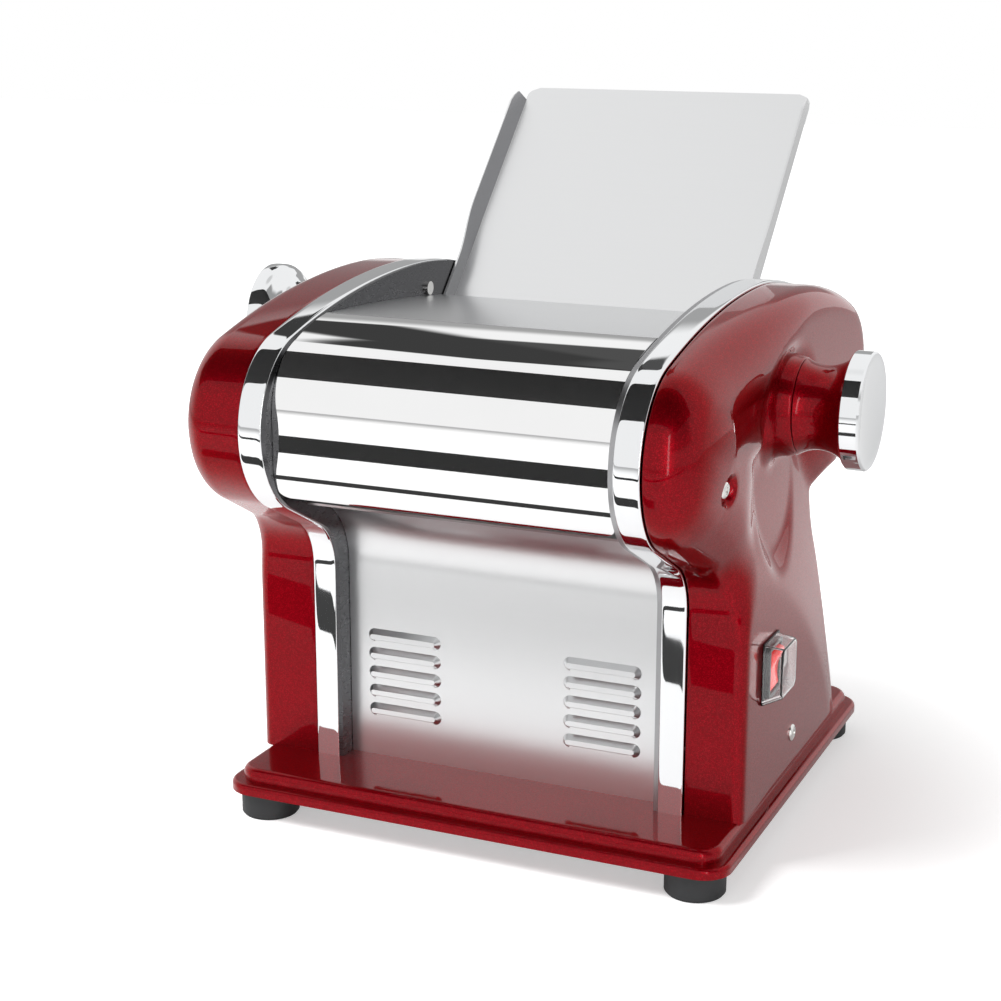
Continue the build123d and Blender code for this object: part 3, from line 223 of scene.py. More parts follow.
join(tree, calc(tree, "ADD", glow, mirrored), shader.inputs["Emission Strength"])
floorObject.data.materials.append(floorPaint)

# cards seen only in reflections: black ones low in front and over the machine, a black one on the floor in
# front of it that is painted shadow, standing in for the floor's shade there, and a bright box beside it
blackCards = (
    {"name": "lowStrip", "half": (1.6, 0.0135), "place": (0, -0.657, 0.0345), "turn": (90, 0, 0)},
    {"name": "highCard", "half": (0.40, 0.083), "place": (-0.10, -0.173, 0.360), "turn": (0, 0, -3)},
    # painted shadow: a dark sheet on the floor that only reflections see, in place of the shade in front of
    # the machine
    {"name": "floorShadowCard", "half": (0.20, 0.035), "place": (-0.12, -0.315, 0.003), "turn": (0, 0, 0)},
)
sideBox = {
    "name": "sideBox", "half": (0.05, 0.50), "place": (0.72, -1.00, 0.42), "turn": (84, 0, 36), "glow": 8,
}
cardShade, cardRoughness = 0.02, 0.9
for card in (*blackCards, sideBox):
    paint = bpy.data.materials.new(card["name"] + "Paint")
    paint.use_nodes = True
    shader = paint.node_tree.nodes["Principled BSDF"]
    shader.inputs["Base Color"].default_value = (cardShade,) * 3 + (1,)
    shader.inputs["Roughness"].default_value = cardRoughness
    shader.inputs["Emission Color"].default_value = (1, 1, 1, 1)
    shader.inputs["Emission Strength"].default_value = card.get("glow", 0)
    item = stageSheet(card["name"], card["half"], card["place"], card["turn"])
    item.data.materials.append(paint)
    for ray in ("camera", "diffuse", "transmission", "shadow", "volume_scatter"):
        setattr(item, "visible_" + ray, False)
print("camera, lamps and floor set")


def newGroup(name, inputs, outputs):
    group = bpy.data.node_groups.new(name, "ShaderNodeTree")
    for label, kind, value in inputs:
        socket = group.interface.new_socket(name=label, in_out="INPUT", socket_type=kind)
        if value is not None:
            socket.default_value = value
    for label, kind in outputs:
        group.interface.new_socket(name=label, in_out="OUTPUT", socket_type=kind)
    return group, addNode(group, "NodeGroupInput"), addNode(group, "NodeGroupOutput")


# a noise inside a group, its scale a number or the name of one of the group's inputs
def noise(group, start, scale, detail, roughness=0.5):
    node = addNode(group, "ShaderNodeTexNoise")
    join(group, start.outputs["Vector"], node.inputs["Vector"])
    feed(group, start.outputs[scale] if isinstance(scale, str) else scale, node.inputs["Scale"])
    node.inputs["Detail"].default_value = detail
    node.inputs["Roughness"].default_value = roughness
    return node.outputs["Fac"]


# a group's roughness runs from its low to its high input
def putRoughness(group, start, end, share):
    spread = calc(group, "SUBTRACT", start.outputs["Rough High"], start.outputs["Rough Low"])
    rough = calc(group, "MULTIPLY_ADD", share, spread, start.outputs["Rough Low"])
    join(group, rough, end.inputs["Roughness"])


def vectorStep(group, operation, source):
    node = addNode(group, "ShaderNodeVectorMath", operation=operation)
    join(group, source, node.inputs[0])
    return node


number, vector = "NodeSocketFloat", "NodeSocketVector"

# streaks of a brush or a rolling mill: a height and a roughness
brushed, start, end = newGroup(
    "brushedGrain",
    (("Vector", vector, None), ("Fineness", number, 900.0),
     ("Rough Low", number, 0.2), ("Rough High", number, 0.3)),
    (("Height", number), ("Roughness", number)),
)
streaks = noise(brushed, start, "Fineness", 3.0)
clouds = noise(brushed, start, 14.0, 4.0)
streakShare = 0.6
fine = calc(brushed, "MULTIPLY", streaks, streakShare)
coarse = calc(brushed, "MULTIPLY", clouds, 1 - streakShare)
putRoughness(brushed, start, end, calc(brushed, "ADD", fine, coarse))
join(brushed, streaks, end.inputs["Height"])

# handling marks: soft clouds and a few fine scratches in the roughness
handled, start, end = newGroup(
    "handlingMarks",
    (("Vector", vector, None), ("Size", number, 30.0),
     ("Rough Low", number, 0.03), ("Rough High", number, 0.08)),
    (("Roughness", number), ("Height", number)),
)
scratch = {
    "stretch": (1.0, 6.0, 2.2), "turn": (0.4, 0.3, 0.7), "scale": 60.0, "width": 0.012, "share": 0.15,
}
clouds = noise(handled, start, "Size", 5.0, 0.6)
stretch = addNode(handled, "ShaderNodeMapping")
stretch.inputs["Scale"].default_value = scratch["stretch"]
stretch.inputs["Rotation"].default_value = scratch["turn"]
join(handled, start.outputs["Vector"], stretch.inputs["Vector"])
scratches = addNode(handled, "ShaderNodeTexVoronoi", feature="DISTANCE_TO_EDGE")
scratches.inputs["Scale"].default_value = scratch["scale"]
join(handled, stretch.outputs["Vector"], scratches.inputs["Vector"])
line = ramp(handled, scratches.outputs["Distance"], 0.0, scratch["width"], 1.0, 0.0)
line = calc(handled, "MULTIPLY", line, scratch["share"])
cloud = calc(handled, "MULTIPLY", ramp(handled, clouds, 0.35, 0.7), 1 - scratch["share"])
putRoughness(handled, start, end, calc(handled, "ADD", cloud, line, clamp=True))
join(handled, clouds, end.inputs["Height"])

# metal flake under lacquer: a sparkle and a leaning normal
flaked, start, end = newGroup(
    "metalFlake",
    (("Vector", vector, None), ("Density", number, 3500.0), ("Lean", number, 0.12)),
    (("Sparkle", number), ("Normal", vector)),
)
cells = addNode(flaked, "ShaderNodeTexVoronoi")
join(flaked, start.outputs["Vector"], cells.inputs["Vector"])
join(flaked, start.outputs["Density"], cells.inputs["Scale"])
tilt = vectorStep(flaked, "SUBTRACT", cells.outputs["Color"])
tilt.inputs[1].default_value = (0.5, 0.5, 0.5)
scaled = vectorStep(flaked, "SCALE", tilt.outputs[0])
join(flaked, start.outputs["Lean"], scaled.inputs["Scale"])
summed = vectorStep(flaked, "ADD", addNode(flaked, "ShaderNodeNewGeometry").outputs["Normal"])
join(flaked, scaled.outputs[0], summed.inputs[1])
join(flaked, vectorStep(flaked, "NORMALIZE", summed.outputs[0]).outputs[0], end.inputs["Normal"])
channels = addNode(flaked, "ShaderNodeSeparateColor")
join(flaked, cells.outputs["Color"], channels.inputs[0])
join(flaked, ramp(flaked, channels.outputs["Red"], 0.6, 1.0), end.inputs["Sparkle"])

# the skin of moulded plastic and rubber
moulded, start, end = newGroup(
    "mouldedSkin",
    (("Vector", vector, None), ("Grain", number, 700.0),
     ("Rough Low", number, 0.4), ("Rough High", number, 0.55)),
    (("Height", number), ("Roughness", number), ("Shade", number)),
)
clouds = noise(moulded, start, 22.0, 4.0)
putRoughness(moulded, start, end, clouds)
join(moulded, noise(moulded, start, "Grain", 2.0), end.inputs["Height"])
join(moulded, clouds, end.inputs["Shade"])


# the piece's own coordinates, stretched along its axes
def place(tree, stretch=(1, 1, 1)):
    coords = addNode(tree, "ShaderNodeTexCoord")
    mapping = addNode(tree, "ShaderNodeMapping")
    mapping.inputs["Scale"].default_value = stretch
    join(tree, coords.outputs["Object"], mapping.inputs["Vector"])
    return mapping.outputs["Vector"]


def useGroup(tree, group, vectorSocket, **values):
    node = addNode(tree, "ShaderNodeGroup", node_tree=group)
    join(tree, vectorSocket, node.inputs["Vector"])
    for key, value in values.items():
        node.inputs[key.replace("_", " ")].default_value = value
    return node


def bump(tree, shader, height, distance):
    node = addNode(tree, "ShaderNodeBump")
    node.inputs["Strength"].default_value = 1.0
    node.inputs["Distance"].default_value = distance
    join(tree, height, node.inputs["Height"])
    join(tree, node.outputs["Normal"], shader.inputs["Normal"])


# sockets 6 and 7 of a Mix node are its colours
def tint(tree, shader, factor, dark, light):
    mix = addNode(tree, "ShaderNodeMix", data_type="RGBA")
    join(tree, factor, mix.inputs[0])
    mix.inputs[6].default_value = (*dark, 1)
    mix.inputs[7].default_value = (*light, 1)
    join(tree, mix.outputs[2], shader.inputs["Base Color"])


def newFinish(name, metallic, **sockets):
    finish = bpy.data.materials.new(name)
    finish.use_nodes = True
    shader = finish.node_tree.nodes["Principled BSDF"]
    shader.inputs["Metallic"].default_value = metallic
    for key, value in sockets.items():
        shader.inputs[key.replace("_", " ")].default_value = value
    return finish, finish.node_tree, shader


finishes = {}

# candy red: dark metallic flake under a coat that shows most at a grazing look
candy = {
    "dark": (0.21, 0.0, 0.004), "light": (0.40, 0.002, 0.010), "specular": (0.75, 0.05, 0.08),
    "coat": (0.30, 1.0), "grazing": (0.30, 0.58), "flakes": 3400.0, "lean": 0.10,
}
for name in ("red_enamel", "red_shell"):
    finish, tree, shader = newFinish(name, 0.85, Roughness=0.36, Coat_Roughness=0.02, Coat_IOR=1.45)
    shader.inputs["Specular Tint"].default_value = (*candy["specular"], 1)
    flakes = useGroup(tree, flaked, place(tree), Density=candy["flakes"], Lean=candy["lean"])
    tint(tree, shader, flakes.outputs["Sparkle"], candy["dark"], candy["light"])
    join(tree, flakes.outputs["Normal"], shader.inputs["Normal"])
    facing = addNode(tree, "ShaderNodeLayerWeight")
    facing.inputs["Blend"].default_value = 0.5
    coat = ramp(tree, facing.outputs["Facing"], *candy["grazing"], *candy["coat"])
    join(tree, coat, shader.inputs["Coat Weight"])
    finishes[name] = finish


# a shade, a low and a high roughness and a depth in metres make a finish
def polished(name, shade, low, high, depth, size=28.0, contrast=0.96):
    finish, tree, shader = newFinish(name, 1.0)
    marks = useGroup(tree, handled, place(tree), Size=size, Rough_Low=low, Rough_High=high)
    join(tree, marks.outputs["Roughness"], shader.inputs["Roughness"])
    tint(tree, shader, marks.outputs["Height"], tuple(c * contrast for c in shade), shade)
    bump(tree, shader, marks.outputs["Height"], depth)
    finishes[name] = finish


def rolled(name, shade, low, high, depth, stretch, fineness=500.0, contrast=0.93):
    finish, tree, shader = newFinish(name, 1.0)
    marks = useGroup(tree, brushed, place(tree, stretch), Fineness=fineness, Rough_Low=low, Rough_High=high)
    join(tree, marks.outputs["Roughness"], shader.inputs["Roughness"])
    tint(tree, shader, marks.outputs["Height"], tuple(c * contrast for c in shade), shade)
    bump(tree, shader, marks.outputs["Height"], depth)
    finishes[name] = finish


def mouldedFinish(name, dark, light, low, high, depth, grain=700.0, **sockets):
    finish, tree, shader = newFinish(name, 0.0, **sockets)
    skin = useGroup(tree, moulded, place(tree), Grain=grain, Rough_Low=low, Rough_High=high)
    join(tree, skin.outputs["Roughness"], shader.inputs["Roughness"])
    tint(tree, shader, skin.outputs["Shade"], dark, light)
    bump(tree, shader, skin.outputs["Height"], depth)
    finishes[name] = finish


polished("chrome_trim", (0.86, 0.87, 0.88), 0.02, 0.055, 0.000006)
polished("mirror_steel", (0.90, 0.90, 0.90), 0.008, 0.018, 0.000001)
polished("roller_steel", (0.66, 0.66, 0.67), 0.12, 0.22, 0.00001)
polished("roller_alloy", (0.72, 0.73, 0.74), 0.14, 0.24, 0.00001)
polished("gear_steel", (0.50, 0.50, 0.51), 0.25, 0.42, 0.00003)
polished("screw_zinc", (0.80, 0.79, 0.77), 0.10, 0.2, 0.00001, 120.0)
polished("bush_brass", (0.72, 0.47, 0.20), 0.22, 0.36, 0.00002)
rolled("satin_steel", (0.78, 0.785, 0.79), 0.26, 0.31, 0.0000005, (1, 30, 30), 40.0, 0.985)
# dark_steel is the satin steel at a much lower shade; it is painted shade for the tray's left flange
rolled("dark_steel", (0.30, 0.30, 0.31), 0.22, 0.30, 0.000001, (1, 30, 30), 40.0, 0.95)
# wall_steel is the frame steel at a much lower shade; it is painted shade for the inside wall of the left
# frame
rolled("wall_steel", (0.10, 0.10, 0.105), 0.22, 0.34, 0.000004, (1, 6, 20), 40.0)
rolled("frame_steel", (0.42, 0.42, 0.43), 0.30, 0.46, 0.00001, (8, 1, 1), 60.0)
rolled("pulley_metal", (0.45, 0.45, 0.46), 0.34, 0.5, 0.00002, (1, 1, 1), 200.0)
rolled("comb_metal", (0.60, 0.60, 0.60), 0.26, 0.4, 0.000005, (1, 12, 12), 60.0)
mouldedFinish("black_rubber", (0.016, 0.017, 0.018), (0.032, 0.033, 0.035), 0.5, 0.72, 0.00006)
mouldedFinish("black_plastic", (0.010, 0.010, 0.011), (0.020, 0.020, 0.021), 0.28, 0.42, 0.00003, 900.0)
# the red rocker is given a faint red emission, a painted glow that makes it look brighter
mouldedFinish("signal_red", (0.80, 0.012, 0.008), (0.90, 0.03, 0.02), 0.10, 0.20, 0.000004, 500.0,
              Emission_Strength=0.3, Emission_Color=(1.0, 0.03, 0.03, 1))
mouldedFinish("motor_grey", (0.10, 0.105, 0.11), (0.15, 0.155, 0.16), 0.36, 0.52, 0.00005)
finish, tree, shader = newFinish("clear_plastic", 0.0, IOR=1.46, Transmission_Weight=1.0)
skin = useGroup(tree, moulded, place(tree), Grain=120.0, Rough_Low=0.0, Rough_High=0.004)
join(tree, skin.outputs["Roughness"], shader.inputs["Roughness"])
tint(tree, shader, skin.outputs["Shade"], (0.96, 0.97, 0.97), (1.0, 1.0, 1.0))
finishes["clear_plastic"] = finish
print("finishes made:", len(finishes))

replaced = set()
mergeGap, copyMergeGap = 1e-6, 2e-6  # metres


# merge the doubles, mark the sharp edges and make the piece; scale turns millimetres into metres
def finishPiece(bm, name, body, slotName, *nodes, sharp, finish=None, scale=1.0):
    bmesh.ops.remove_doubles(bm, verts=bm.verts, dist=mergeGap / scale)
    bmesh.ops.scale(bm, verts=bm.verts, vec=(scale, scale, scale))
    for edge in bm.edges:
        if len(edge.link_faces) == 2 and edge.calc_face_angle() > radians(sharp):
            edge.smooth = False
    for face in bm.faces:
        face.smooth = True
    mesh = bpy.data.meshes.new(name)
    bm.to_mesh(mesh)
    bm.free()
    mesh.materials.append(finishes[finish or slotName])
    piece = bpy.data.objects.new(name, mesh)
    bpy.context.scene.collection.objects.link(piece)
    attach(piece, body)
    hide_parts(*nodes)
    replaced.update(nodes)
    return piece


# a carried-over node with its doubles merged and its round faces smooth
def smoothCopy(node, finish=None, sharp=30):
    bm = bmesh.new()
    bm.from_mesh(frame["nodes"][node].data)
    bmesh.ops.remove_doubles(bm, verts=bm.verts, dist=copyMergeGap)
    return finishPiece(bm, node + "_smooth", bodyOf[node], slotOf[node], node, finish=finish, sharp=sharp)


# side outline of the machine in millimetres, as (y, z) places and radii, seen along the rollers
arch = {
    "floor": 21.5,
    "coveFront": (-102.6, 113.0, 25.5),
    "noseY": -97.6,
    "noseRadius": 40.0,
    "crownY": 5.0,
    "crownTop": 238.0,
    "crownFrontRadius": 430.0,
    "crownRearRadius": 245.0,
    "tailY": 77.5,
    "tailRadius": 37.4,
    "coveRear": (75.0, 124.0, 22.0),
    "rearFootY": 84.0,
}


def polar(centre, radius, angle):
    return Vector((centre[0] + radius * cos(radians(angle)), centre[1] + radius * sin(radians(angle))))


def heading(start, end):
    return degrees(atan2(end[1] - start[1], end[0] - start[0]))


def tangentAngle(first, second, side):
    reach = hypot(second[0] - first[0], second[1] - first[1])
    return heading(first, second) + side * degrees(acos((first[2] + second[2]) / reach))


# a circle of the given radius that touches the crown from inside at a given depth
def restingOn(crown, y, radius):
    drop = crown[2] - radius
    return (y, crown[1] + sqrt(drop**2 - (y - crown[0]) ** 2), radius)


crownFront = (arch["crownY"], arch["crownTop"] - arch["crownFrontRadius"], arch["crownFrontRadius"])
crownRear = (arch["crownY"], arch["crownTop"] - arch["crownRearRadius"], arch["crownRearRadius"])
nose = restingOn(crownFront, arch["noseY"], arch["noseRadius"])
tail = restingOn(crownRear, arch["tailY"], arch["tailRadius"])
coveFront, coveRear = arch["coveFront"], arch["coveRear"]
frontAngle = tangentAngle(coveFront, nose, -1)
rearAngle = tangentAngle(coveRear, tail, 1)
noseEnd = heading(crownFront, nose)
tailStart = heading(crownRear, tail)
rearFoot = (arch["rearFootY"], arch["floor"])
rearReach = hypot(coveRear[0] - rearFoot[0], coveRear[1] - rearFoot[1])
rearSlope = heading(rearFoot, coveRear) + degrees(asin(coveRear[2] / rearReach))
postY = coveFront[0] + coveFront[2]

turnStep = 3.5  # degrees

# the outline as runs and turns, from the front foot over the head to the rear foot
outline = (
    {"to": (postY, coveFront[1])},
    {"about": coveFront, "turn": frontAngle},
    {"to": polar(nose, nose[2], frontAngle + 180)},
    {"about": nose, "turn": noseEnd - frontAngle - 180},
    {"about": crownFront, "turn": 90 - noseEnd},
    {"about": crownRear, "turn": tailStart - 90},
    {"about": tail, "turn": rearAngle - 180 - tailStart},
    {"to": polar(coveRear, coveRear[2], rearAngle)},
    {"about": coveRear, "turn": rearSlope + 90 - rearAngle},
    {"to": rearFoot},
)


def onlyVerts(geometry):
    return [item for item in geometry if isinstance(item, bmesh.types.BMVert)]


def onlyEdges(geometry):
    return [item for item in geometry if isinstance(item, bmesh.types.BMEdge)]


# draw what is given along the outline; overrun lets it end a little below the last foot
def sweepOutline(bm, geometry, step, overrun=0.0):
    last = Vector((postY, arch["floor"]))
    for stretch in outline:
        if "to" in stretch:
            goal = Vector(stretch["to"])
            way = goal - last
            if stretch is outline[-1]:
                way *= 1 + overrun / way.length
            count = max(1, round(way.length / step))
            for _ in range(count):
                edges = onlyEdges(geometry)
                if edges:
                    fresh = bmesh.ops.extrude_edge_only(bm, edges=edges)["geom"]
                    geometry = onlyVerts(fresh) + onlyEdges(fresh)
                else:
                    geometry = bmesh.ops.extrude_vert_indiv(bm, verts=geometry)["verts"]
                bmesh.ops.translate(bm, verts=onlyVerts(geometry), vec=(0, *(way / count)))
            last = goal
        else:
            y, z, radius = stretch["about"]
            swing = radians(stretch["turn"])
            byAngle = round(abs(stretch["turn"]) / turnStep)
            count = max(3, byAngle, round(radians(abs(stretch["turn"])) * radius / step))
            turned = bmesh.ops.spin(
                bm, geom=geometry, cent=(0, y, z), axis=(1, 0, 0), angle=swing, steps=count)
            geometry = turned["geom_last"]
            last = Matrix.Rotation(swing, 2) @ (last - Vector((y, z))) + Vector((y, z))
    return geometry


def chainOf(bm, points):
    verts = [bm.verts.new(point) for point in points]
    return verts, [bm.edges.new(pair) for pair in zip(verts, verts[1:])]


def loopOf(bm, points):
    verts, edges = chainOf(bm, points)
    return verts, edges + [bm.edges.new((verts[-1], verts[0]))]


# extrude edges and give the new vertices and the edges between them
def extruded(bm, edges):
    fresh = bmesh.ops.extrude_edge_only(bm, edges=edges)["geom"]
    verts = onlyVerts(fresh)
    return verts, [edge for edge in onlyEdges(fresh) if all(vert in verts for vert in edge.verts)]


across = {"trimInner": 77.0, "trimOuter": 88.0, "coverInner": 88.5, "rightOuter": 114.0, "leftOuter": 118.0}

# polished strap: crowned outside with rounded edges, flat inside
trim = {"thick": 3.0, "crown": 1.5, "square": 0.30, "points": 26, "step": 4.0, "overrun": 1.5}
for side, node in ((1, "trim_right"), (-1, "trim_left")):
    bm = bmesh.new()
    middle = (across["trimInner"] + across["trimOuter"]) / 2
    half = (across["trimOuter"] - across["trimInner"]) / 2
    section = []
    for k in range(trim["points"] + 1):
        turn = pi * k / trim["points"]
        swing = abs(cos(turn)) ** trim["square"] * (1 if cos(turn) > 0 else -1)
        inset = trim["crown"] * (1 - sin(turn) ** trim["square"]) if k % trim["points"] else trim["crown"]
        section.append((side * (middle + half * swing), postY + inset, arch["floor"]))
    section += [(side * across["trimInner"], postY + trim["thick"], arch["floor"])]
    section += [(side * across["trimOuter"], postY + trim["thick"], arch["floor"])]
    verts, edges = loopOf(bm, section)
    sweepOutline(bm, verts + edges, trim["step"], trim["overrun"])
    bmesh.ops.holes_fill(bm, edges=[edge for edge in bm.edges if edge.is_boundary])
    bmesh.ops.recalc_face_normals(bm, faces=bm.faces)
    finishPiece(bm, node + "_strap", "housing", slotOf[node], node, sharp=40, scale=mm)
print("trims made")


def smoothStep(value, low, high):
    t = min(1.0, max(0.0, (value - low) / (high - low)))
    return t * t * (3 - 2 * t)


# the smaller of two values, rounded where they meet
def softMin(first, second, width):
    h = max(0.0, width - abs(first - second)) / width
    return min(first, second) - h * h * width / 4


def softMax(first, second, width):
    return -softMin(-first, -second, width)


# places along the outline, with the direction into the machine at each
def spinePlaces(step):
    bm = bmesh.new()
    sweepOutline(bm, [bm.verts.new((0, postY, arch["floor"]))], step)
    places = [Vector((vert.co.y, vert.co.z)) for vert in bm.verts]
    bm.free()
    inward = []
    for k in range(len(places)):
        way = (places[min(k + 1, len(places) - 1)] - places[max(k - 1, 0)]).normalized()
        inward.append(Vector((way.y, -way.x)))
    return places, inward


# what is cut from a cover's face, in millimetres: the sloping waist below the head, outside two circles,
# and the dish round the boss
waist = {
    "flank": {"centre": (-127.0, -90.0), "radius": 226.0, "slope": 0.15},
    "tail": {"centre": (77.5, 187.5), "radius": 41.0, "slope": 0.6},
    "underHead": {"height": 184.0, "slope": 0.5},
    "front": {"depth": 14.0, "from": -88.0, "to": -8.0},
    "blend": 1.5, "edge": 0.5,
}
dish = {
    "depth": 6.5, "radius": 44.0, "slope": 11.0, "shift": (6.0, -17.5), "squeeze": 0.72,
    "blend": 4.0, "blendDepth": 3.0, "leastBlend": 0.01,
}


def beyond(circle, y, z):
    return (hypot(y - circle["centre"][0], z - circle["centre"][1]) - circle["radius"]) * circle["slope"]


def carve(cover, y, z):
    head, front = waist["underHead"], waist["front"]
    depth = softMin(beyond(waist["flank"], y, z), (head["height"] - z) * head["slope"], waist["blend"])
    depth = softMin(depth, front["depth"] * smoothStep(y, front["from"], front["to"]), waist["blend"])
    depth = softMin(depth, beyond(waist["tail"], y, z), waist["blend"])
    depth = softMax(depth, 0.0, waist["edge"])
    drop = z - cover["boss"][1] - dish["shift"][1]
    if drop < 0:
        drop *= dish["squeeze"]
    near = hypot(y - cover["boss"][0] - dish["shift"][0], drop)
    bowl = dish["depth"] * smoothStep(dish["radius"] - near, 0.0, dish["slope"])
    blend = dish["blend"] * (depth + bowl) / dish["blendDepth"] + dish["leastBlend"]
    return softMax(depth, bowl, min(dish["blend"], blend))


def inside(y, z, loop):
    hit = False
    for (ya, za), (yb, zb) in zip(loop, loop[1:] + loop[:1]):
        if (za > z) != (zb > z) and y < (yb - ya) * (z - za) / (zb - za) + ya:
            hit = not hit
    return hit


# extrude a row of vertices and edges and put each new vertex in its place
def pull(bm, row, place):
    verts, edges = extruded(bm, row[1])
    old = {tuple(round(c, 5) for c in vert.co): k for k, vert in enumerate(row[0])}
    order = sorted(verts, key=lambda vert: old[tuple(round(c, 5) for c in vert.co)])
    for k, vert in enumerate(order):
        vert.co = place(k)
    return order, edges


def circleRow(bm, centre, radius, count):
    made = bmesh.ops.create_circle(bm, cap_ends=False, segments=count, radius=radius)["verts"]
    for k, vert in enumerate(made):
        angle = 2 * pi * k / count
        vert.co = (0, centre[0] + radius * cos(angle), centre[1] + radius * sin(angle))
    edges = list({edge for vert in made for edge in vert.link_edges})
    return made, edges


# moulded side covers: rounded outside, with a sloping waist, a dish with a boss for the dial, a seat for
# the upper screw and, on the right, a window for the switch
covers = (
    {"node": "side_cover_right", "side": 1, "outer": across["rightOuter"], "boss": (-26.0, 193.5),
     "root": 26.0, "rootShift": (1.5, -3.5), "noseRound": 23.0, "noseReach": 36.0, "window": (-41.5, 81.5)},
    {"node": "side_cover_left", "side": -1, "outer": across["leftOuter"], "boss": (-2.0, 209.5),
     "root": 23.5, "rootShift": (0.5, -2.0), "noseRound": 12.0, "noseReach": 12.0, "window": None},
)
coverShape = {
    "proud": 1.2, "lip": 0.5, "flank": 2.0, "hem": 2.2, "hemDepth": 1.5, "spineStep": 2.5, "fineStep": 0.6,
    "postRound": 5.5, "tailRound": 12.0, "postTop": 100.0, "headLow": 158.0,
    "backFrom": -95.0, "backTo": 10.0, "rings": 8, "shortTurn": 42.0, "shortFrom": 8.0, "shortTo": 20.0,
}
bossShape = {
    "segments": 72, "steps": 7, "waist": 1.2, "waistRise": 1.5, "top": 20.5,
    "profile": (  # rise and radius
        (5.0, 20.8), (6.0, 20.5), (6.4, 20.15), (6.5, 19.6), (6.5, 7.6), (0.0, 7.6)),
}
seatShape = {
    "centre": (-103.0, 174.0), "segments": 36, "mouth": 7.6, "depth": 2.9,
    "profile": ((7.2, 0.12), (6.6, 0.5), (6.0, 1.2), (5.3, 2.9), (1.9, 2.9)),  # radius and depth
    "feel": 0.25,  # half the distance over which the slope of the face is taken
}
windowShape = {"half": (9.2, 11.4), "depth": 3.0}
faceGrid = {"step": 2.5, "half": (40, 46), "middle": 128.0, "gap": 1.6}
coverSpine, coverInward = spinePlaces(coverShape["spineStep"])
fineSpine, fineInward = spinePlaces(coverShape["fineStep"])
fineTree = KDTree(len(fineSpine))
for k, spot in enumerate(fineSpine):
    fineTree.insert((0, spot.x, spot.y), k)
fineTree.balance()


# how far the rounding at a place on the outline falls back and how far it reaches in
def roundingAt(cover, spot):
    tail, post = coverShape["tailRound"], coverShape["postRound"]
    back = smoothStep(spot.x, coverShape["backFrom"], coverShape["backTo"])
    rise = smoothStep(spot.y, coverShape["postTop"], coverShape["headLow"])
    head = [cover[key] + (tail - cover[key]) * back for key in ("noseRound", "noseReach")]
    return [post + (size - post) * rise for size in head]


def edgeFall(cover, y, z):
    k = fineTree.find((0, y, z))[1]
    deepest, reach = roundingAt(cover, fineSpine[k])
    inset = (Vector((y, z)) - fineSpine[k]).dot(fineInward[k]) - coverShape["proud"]
    lack = min(1.0, max(0.0, 1 - inset / reach))
    return deepest * (1 - sqrt(1 - lack * lack))


def onFace(cover, y, z, back=0.0):
    return cover["side"] * (cover["outer"] - carve(cover, y, z) - edgeFall(cover, y, z) - back), y, z


def ringOnFace(bm, cover, centre, radius, segments):
    ring = circleRow(bm, centre, radius, segments)
    for vert in ring[0]:
        vert.co = onFace(cover, vert.co.y, vert.co.z)
    return ring


# hem, lip, flank and rounding, a row at a time; the last row is the rim of the face
def coverFlank(bm, cover):
    side, proud, lip = cover["side"], coverShape["proud"], coverShape["lip"]

    def onFlank(k, depth, inset):
        return side * (across["coverInner"] + depth), *(coverSpine[k] + coverInward[k] * inset)

    hem = proud + coverShape["hem"]
    row = chainOf(bm, [onFlank(k, coverShape["hemDepth"], hem) for k in range(len(coverSpine))])
    profile = ((0.0, hem), (0.0, proud + lip), (lip * 0.3, proud + lip * 0.3), (lip, proud),
               (coverShape["flank"], proud))
    for depth, inset in profile:
        row = pull(bm, row, lambda k: onFlank(k, depth, inset))
    sizes = [roundingAt(cover, spot) for spot in coverSpine]
    quarter = [pi / 2 - radians(coverShape["shortTurn"])
               * smoothStep(reach, coverShape["shortFrom"], coverShape["shortTo"]) for _, reach in sizes]

    def onRounding(k, share):
        deepest, reach = sizes[k]
        y, z = coverSpine[k] + coverInward[k] * (proud + reach * (1 - cos(quarter[k] * share)))
        fall = deepest * (1 - sin(quarter[k] * share))
        return side * (cover["outer"] - carve(cover, y, z) - fall), y, z

    for step in range(coverShape["rings"] + 1):
        row = pull(bm, row, lambda k: onRounding(k, step / coverShape["rings"]))
    return row


# up a hollow root to the boss, over its rounded top and down its bore
def coverBoss(bm, cover):
    boss, shift, root = cover["boss"], cover["rootShift"], cover["root"]
    foot = (boss[0] + shift[0], boss[1] + shift[1])
    ring = ringOnFace(bm, cover, foot, root, bossShape["segments"])
    roots = [vert.co.x for vert in ring[0]]

    def onBoss(k, x, reach, drift=0.0):
        angle = 2 * pi * k / bossShape["segments"]
        centre = [middle + move * drift for middle, move in zip(boss, shift)]
        return x, centre[0] + reach * cos(angle), centre[1] + reach * sin(angle)

    row = ring
    flare = root - bossShape["top"] - bossShape["waist"]
    rootTop = cover["side"] * (cover["outer"] + bossShape["waistRise"])
    for step in range(1, bossShape["steps"] + 1):
        angle = pi / 2 * step / bossShape["steps"]
        row = pull(bm, row, lambda k: onBoss(
            k, roots[k] + (rootTop - roots[k]) * (1 - cos(angle)), root - flare * sin(angle), 1 - sin(angle)))
    for rise, reach in bossShape["profile"]:
        row = pull(bm, row, lambda k: onBoss(k, cover["side"] * (cover["outer"] + rise), reach))
    return ring[1], (foot, root)


